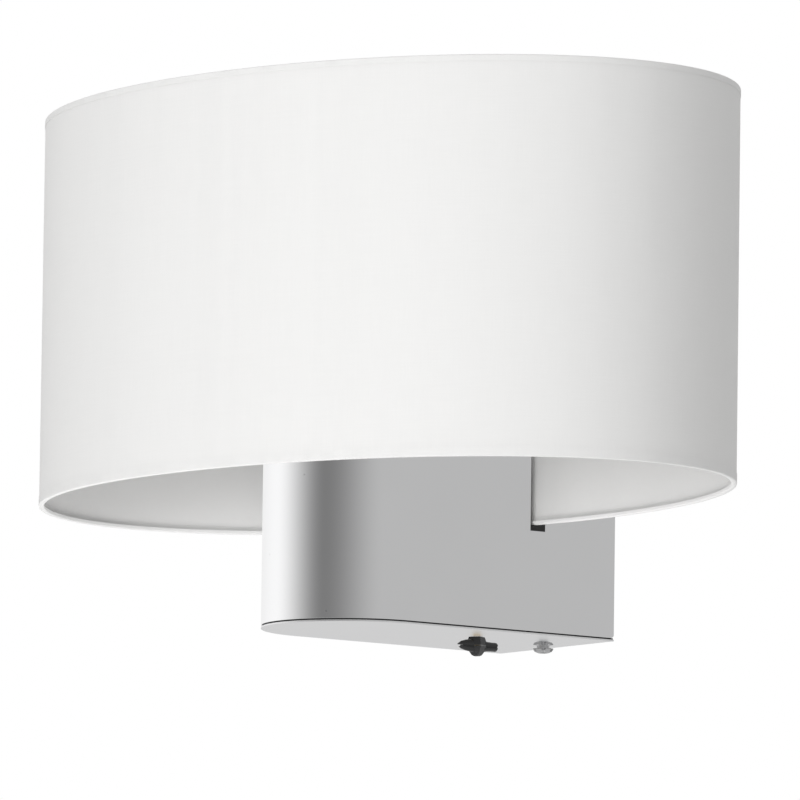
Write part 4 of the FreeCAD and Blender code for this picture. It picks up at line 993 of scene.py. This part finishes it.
class WALLLIGHT_OT_lampholder(Operator):
    """Model the threaded barrel, the shade rings and the lamp thread"""
    bl_idname = "wall_light.lampholder"
    bl_label = "Lampholder"

    def execute(self, context):
        holder = context.scene.light_holder
        centre = node_middle("holder_barrel")[:2]
        self.barrel(holder, centre)
        self.lamp_thread(holder, centre)
        for name, node, ribs in (("lower_ring", "seat_ring", 0), ("upper_ring", "clamp_ring", 24)):
            self.shade_ring(holder, centre, name, node, ribs)
        return {"FINISHED"}

    @staticmethod
    def barrel(holder, centre):
        """Barrel with a plain collar below and a rounded outer thread above."""
        low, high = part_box("holder_barrel")
        collar = (high[0] - low[0]) / 2
        outer = node_size("holder_cap")[0] / 2
        inner = outer - 2.0 * MM
        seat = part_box("seat_ring")[0][2]
        profile = [(inner, low[2]), (collar - 0.4 * MM, low[2]), (collar, low[2] + 0.4 * MM),
                   (collar, seat - 0.4 * MM), (collar - 0.4 * MM, seat), (outer, seat)]
        turns = int((high[2] - seat) / holder.barrel_thread)
        start = high[2] - turns * holder.barrel_thread
        for i in range(turns):
            z = start + i * holder.barrel_thread
            profile += [(outer, z + 0.1 * holder.barrel_thread),
                        (outer - 0.5 * MM, z + 0.45 * holder.barrel_thread),
                        (outer - 0.5 * MM, z + 0.55 * holder.barrel_thread),
                        (outer, z + 0.9 * holder.barrel_thread)]
        profile += [(outer - 0.6 * MM, high[2]), (inner, high[2])]
        piece = turned("holder_body", centre, profile, holder.steps)
        smooth(piece)
        dress(piece, FINISHES["white_plastic"], replaces=["holder_barrel"])

    @staticmethod
    def lamp_thread(holder, centre):
        """Sleeve rolled into a rounded helical thread."""
        low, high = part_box("thread_sleeve")
        outer = (high[0] - low[0]) / 2
        inner = outer - 0.6 * MM
        rows = 60
        levels = [low[2] + (high[2] - low[2]) * i / rows for i in range(rows + 1)]
        profile = [(outer - 0.5 * MM, z) for z in levels]
        profile += [(inner - 0.5 * MM, z) for z in reversed(levels)]
        piece = turned("lamp_thread", centre, profile, holder.steps)
        object_mode()
        for point in piece.data.vertices:
            away = Vector((point.co.x - centre[0], point.co.y - centre[1]))
            turn = math.atan2(away.y, away.x) / (2 * math.pi)
            phase = 2 * math.pi * ((point.co.z - low[2]) / holder.thread - turn)
            reach = away.length + 0.5 * MM * math.cos(phase)
            away.normalize()
            point.co.x = centre[0] + away.x * reach
            point.co.y = centre[1] + away.y * reach
        smooth(piece, 60.0)
        dress(piece, FINISHES["brass"], replaces=["thread_sleeve"])

    @staticmethod
    def shade_ring(holder, centre, name, node, ribs):
        """Flat moulded ring, with grip flutes round the upper one."""
        low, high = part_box(node)
        outer = (high[0] - low[0]) / 2
        inner = node_size("holder_cap")[0] / 2 + 0.1 * MM
        soft = 0.7 * MM
        profile = [(inner, low[2]), (outer - soft, low[2]), (outer, low[2] + soft),
                   (outer, high[2] - soft), (outer - soft, high[2]), (inner + soft, high[2]),
                   (inner, high[2] - soft)]
        ring = turned(name, centre, profile, max(holder.steps, ribs * 6))
        cutters = []
        for i in range(ribs):
            turn = 2 * math.pi * i / ribs
            place = (centre[0] + (outer + 0.9 * MM) * math.cos(turn),
                     centre[1] + (outer + 0.9 * MM) * math.sin(turn))
            cutters.append(turned("flute_cutter", place, [(1.7 * MM, low[2] - MM),
                                                          (1.7 * MM, high[2] + MM)], 16, True))
        if cutters:
            carve(ring, [join("flutes", cutters)])
        round_edges(ring, 0.25 * MM, segments=2, above=40.0)
        dress(ring, FINISHES["white_plastic"], replaces=[node])


# ---------------------------------------------------- the nodes that are kept

class WALLLIGHT_OT_frame_finishes(Operator):
    """Give the CAD nodes that show as they are their own finishes"""
    bl_idname = "wall_light.frame_finishes"
    bl_label = "Finishes of the frame"

    def execute(self, context):
        for entry in frame["record"]["subparts"]:
            node = frame["nodes"][entry["node"]]
            node.data.materials.clear()
            node.data.materials.append(FINISHES[entry["material_slot"]])
        return {"FINISHED"}


# ------------------------------------------------------------------ the stage

class WALLLIGHT_OT_stage(Operator):
    """Set up the camera, the soft lights and the pale floor"""
    bl_idname = "wall_light.stage"
    bl_label = "Stage"

    def execute(self, context):
        stage = context.scene.light_stage
        context.scene.view_settings.view_transform = "Standard"
        self.camera(context.scene, stage)
        self.studio(context.scene, stage)
        self.floor(stage)
        self.soft_light("front_light", (0.88, -1.98, -0.08), (1.4, 0.5), stage.key)
        self.soft_light("left_low_light", (0.0, -0.19, -0.2), (0.1, 0.08), stage.low * 0.4)
        self.soft_light("right_low_light", (0.14, -0.2, -0.36), (0.2, 0.12), stage.low)
        return {"FINISHED"}

    @staticmethod
    def camera(scene, stage):
        """The photograph's viewpoint and sight."""
        level = math.cos(stage.rise)
        sight = Vector((-math.sin(stage.turn) * level, math.cos(stage.turn) * level,
                        math.sin(stage.rise)))
        right = Vector((math.cos(stage.turn), math.sin(stage.turn), 0.0))
        up = right.cross(sight)
        across = right * math.cos(stage.roll) + up * math.sin(stage.roll)
        upward = up * math.cos(stage.roll) - right * math.sin(stage.roll)
        data = bpy.data.cameras.new("camera")
        data.lens = stage.lens
        data.sensor_width = 36.0
        camera = bpy.data.objects.new("camera", data)
        turn = Matrix((across, upward, -sight)).transposed().to_4x4()
        camera.matrix_world = Matrix.Translation(stage.place) @ turn
        data.clip_start = 0.1
        data.clip_end = 100.0
        scene.collection.objects.link(camera)
        scene.camera = camera

    @staticmethod
    def studio(scene, stage):
        """A white backdrop, soft light all round, and the plain studio that the metal
        mirrors: one soft change from the bright left over the dim front to the right."""
        world = bpy.data.worlds.new("studio")
        world.use_nodes = True
        tree = world.node_tree
        tree.nodes.clear()
        new = tree.nodes.new
        link = tree.links.new
        place = new("ShaderNodeTexCoord")
        parts = new("ShaderNodeSeparateXYZ")
        link(place.outputs["Generated"], parts.inputs[0])
        ahead = new("ShaderNodeMath")
        ahead.operation = "MULTIPLY"
        ahead.inputs[1].default_value = -1.0
        link(parts.outputs["Y"], ahead.inputs[0])
        turn = new("ShaderNodeMath")
        turn.operation = "ARCTAN2"
        link(parts.outputs["X"], turn.inputs[0])
        link(ahead.outputs[0], turn.inputs[1])
        share = new("ShaderNodeMath")
        share.operation = "MULTIPLY_ADD"
        share.inputs[1].default_value = 0.5 / math.pi
        share.inputs[2].default_value = 0.5
        link(turn.outputs[0], share.inputs[0])
        ramp = new("ShaderNodeValToRGB")
        ramp.color_ramp.interpolation = "EASE"
        sides = ((-150, stage.low_side), (-60, stage.left), (15, stage.front),
                 (90, stage.right), (140, stage.right), (180, stage.low_side))
        Finish.set_stops(ramp.color_ramp, [(turn / 360 + 0.5, grey) for turn, grey in sides])
        link(share.outputs[0], ramp.inputs[0])
        low = new("ShaderNodeMapRange")
        low.inputs["From Min"].default_value = -0.16
        low.inputs["From Max"].default_value = -0.09
        link(parts.outputs["Z"], low.inputs["Value"])
        level = new("ShaderNodeMix")
        level.data_type = "RGBA"
        link(low.outputs[0], level.inputs[0])
        level.inputs[6].default_value = (stage.low_side, stage.low_side, stage.low_side, 1.0)
        link(ramp.outputs[0], level.inputs[7])
        walls = new("ShaderNodeBackground")
        link(level.outputs[2], walls.inputs["Color"])
        soft = new("ShaderNodeBackground")
        soft.inputs["Color"].default_value = (1.0, 1.0, 1.0, 1.0)
        soft.inputs["Strength"].default_value = stage.ambient
        white = new("ShaderNodeBackground")
        white.inputs["Color"].default_value = (1.0, 1.0, 1.0, 1.0)
        white.inputs["Strength"].default_value = 1.0
        ray = new("ShaderNodeLightPath")
        mirrored = new("ShaderNodeMixShader")
        link(ray.outputs["Is Glossy Ray"], mirrored.inputs[0])
        link(soft.outputs[0], mirrored.inputs[1])
        link(walls.outputs[0], mirrored.inputs[2])
        seen = new("ShaderNodeMixShader")
        link(ray.outputs["Is Camera Ray"], seen.inputs[0])
        link(mirrored.outputs[0], seen.inputs[1])
        link(white.outputs[0], seen.inputs[2])
        out = new("ShaderNodeOutputWorld")
        link(seen.outputs[0], out.inputs["Surface"])
        scene.world = world

    @staticmethod
    def floor(stage):
        """A pale floor that is clear when seen from below."""
        floor = begin("floor", bpy.ops.mesh.primitive_plane_add, size=14.0,
                      location=(0.0, 0.0, stage.floor))
        object_mode()
        pale = Finish("pale_floor", (0.86, 0.86, 0.86), 0.8)
        speck = pale.noise(pale.place(3.0, 3.0, 3.0), 1.0, 3.0)
        pale.tint(speck, (0.88, 0.88, 0.88), (0.84, 0.84, 0.84))
        tree = pale.tree
        below = tree.nodes.new("ShaderNodeNewGeometry")
        clear = tree.nodes.new("ShaderNodeBsdfTransparent")
        mix = tree.nodes.new("ShaderNodeMixShader")
        tree.links.new(below.outputs["Backfacing"], mix.inputs[0])
        tree.links.new(pale.shader.outputs[0], mix.inputs[1])
        tree.links.new(clear.outputs[0], mix.inputs[2])
        tree.links.new(mix.outputs[0], tree.nodes["Material Output"].inputs["Surface"])
        floor.data.materials.append(pale.material)
        floor.visible_glossy = False

    @staticmethod
    def soft_light(name, place, size, power):
        """A soft light aimed at the lamp, which the metal doesn't mirror."""
        data = bpy.data.lights.new(name, "AREA")
        data.shape = "RECTANGLE"
        data.size, data.size_y = size
        data.energy = power
        light = bpy.data.objects.new(name, data)
        aim = Vector((0.05, -0.12, 0.05)) - Vector(place)
        light.matrix_world = Matrix.Translation(place) @ aim.to_track_quat("-Z", "Y").to_matrix().to_4x4()
        light.visible_glossy = False
        light.visible_camera = False
        bpy.context.scene.collection.objects.link(light)


# ------------------------------------------------------------------ the add-on

PIECES = (
    WALLLIGHT_OT_frame_finishes,
    WALLLIGHT_OT_shade_cloth,
    WALLLIGHT_OT_shade_liner,
    WALLLIGHT_OT_shade_frame,
    WALLLIGHT_OT_body_shell,
    WALLLIGHT_OT_bottom_plate,
    WALLLIGHT_OT_knob,
    WALLLIGHT_OT_switch_bush,
    WALLLIGHT_OT_crown_nut,
    WALLLIGHT_OT_lampholder,
    WALLLIGHT_OT_stage,
)

SETTINGS = (
    ("light_shade", WallLightShade),
    ("light_body", WallLightBody),
    ("light_holder", WallLightHolder),
    ("light_switch", WallLightSwitch),
    ("light_stage", WallLightStage),
)


class WALLLIGHT_PT_panel(Panel):
    """Lists the pieces of the lamp and their settings"""
    bl_label = "Fabric Shade Wall Light"
    bl_idname = "WALLLIGHT_PT_panel"
    bl_space_type = "VIEW_3D"
    bl_region_type = "UI"
    bl_category = "Wall Light"

    def draw(self, context):
        for name, group in SETTINGS:
            box = self.layout.box()
            box.label(text=group.__doc__)
            values = getattr(context.scene, name)
            for field in group.__annotations__:
                box.prop(values, field)
        for piece in PIECES:
            self.layout.operator(piece.bl_idname)


def register():
    for name, group in SETTINGS:
        bpy.utils.register_class(group)
        setattr(bpy.types.Scene, name, PointerProperty(type=group))
    for cls in PIECES + (WALLLIGHT_PT_panel,):
        bpy.utils.register_class(cls)


def unregister():
    for cls in reversed(PIECES + (WALLLIGHT_PT_panel,)):
        bpy.utils.unregister_class(cls)
    for name, group in reversed(SETTINGS):
        delattr(bpy.types.Scene, name)
        bpy.utils.unregister_class(group)


def main():
    register()
    FINISHES.update(make_finishes(bpy.context.scene))
    for piece in PIECES:
        group, name = piece.bl_idname.split(".")
        getattr(getattr(bpy.ops, group), name)()


if __name__ == "__main__":
    main()
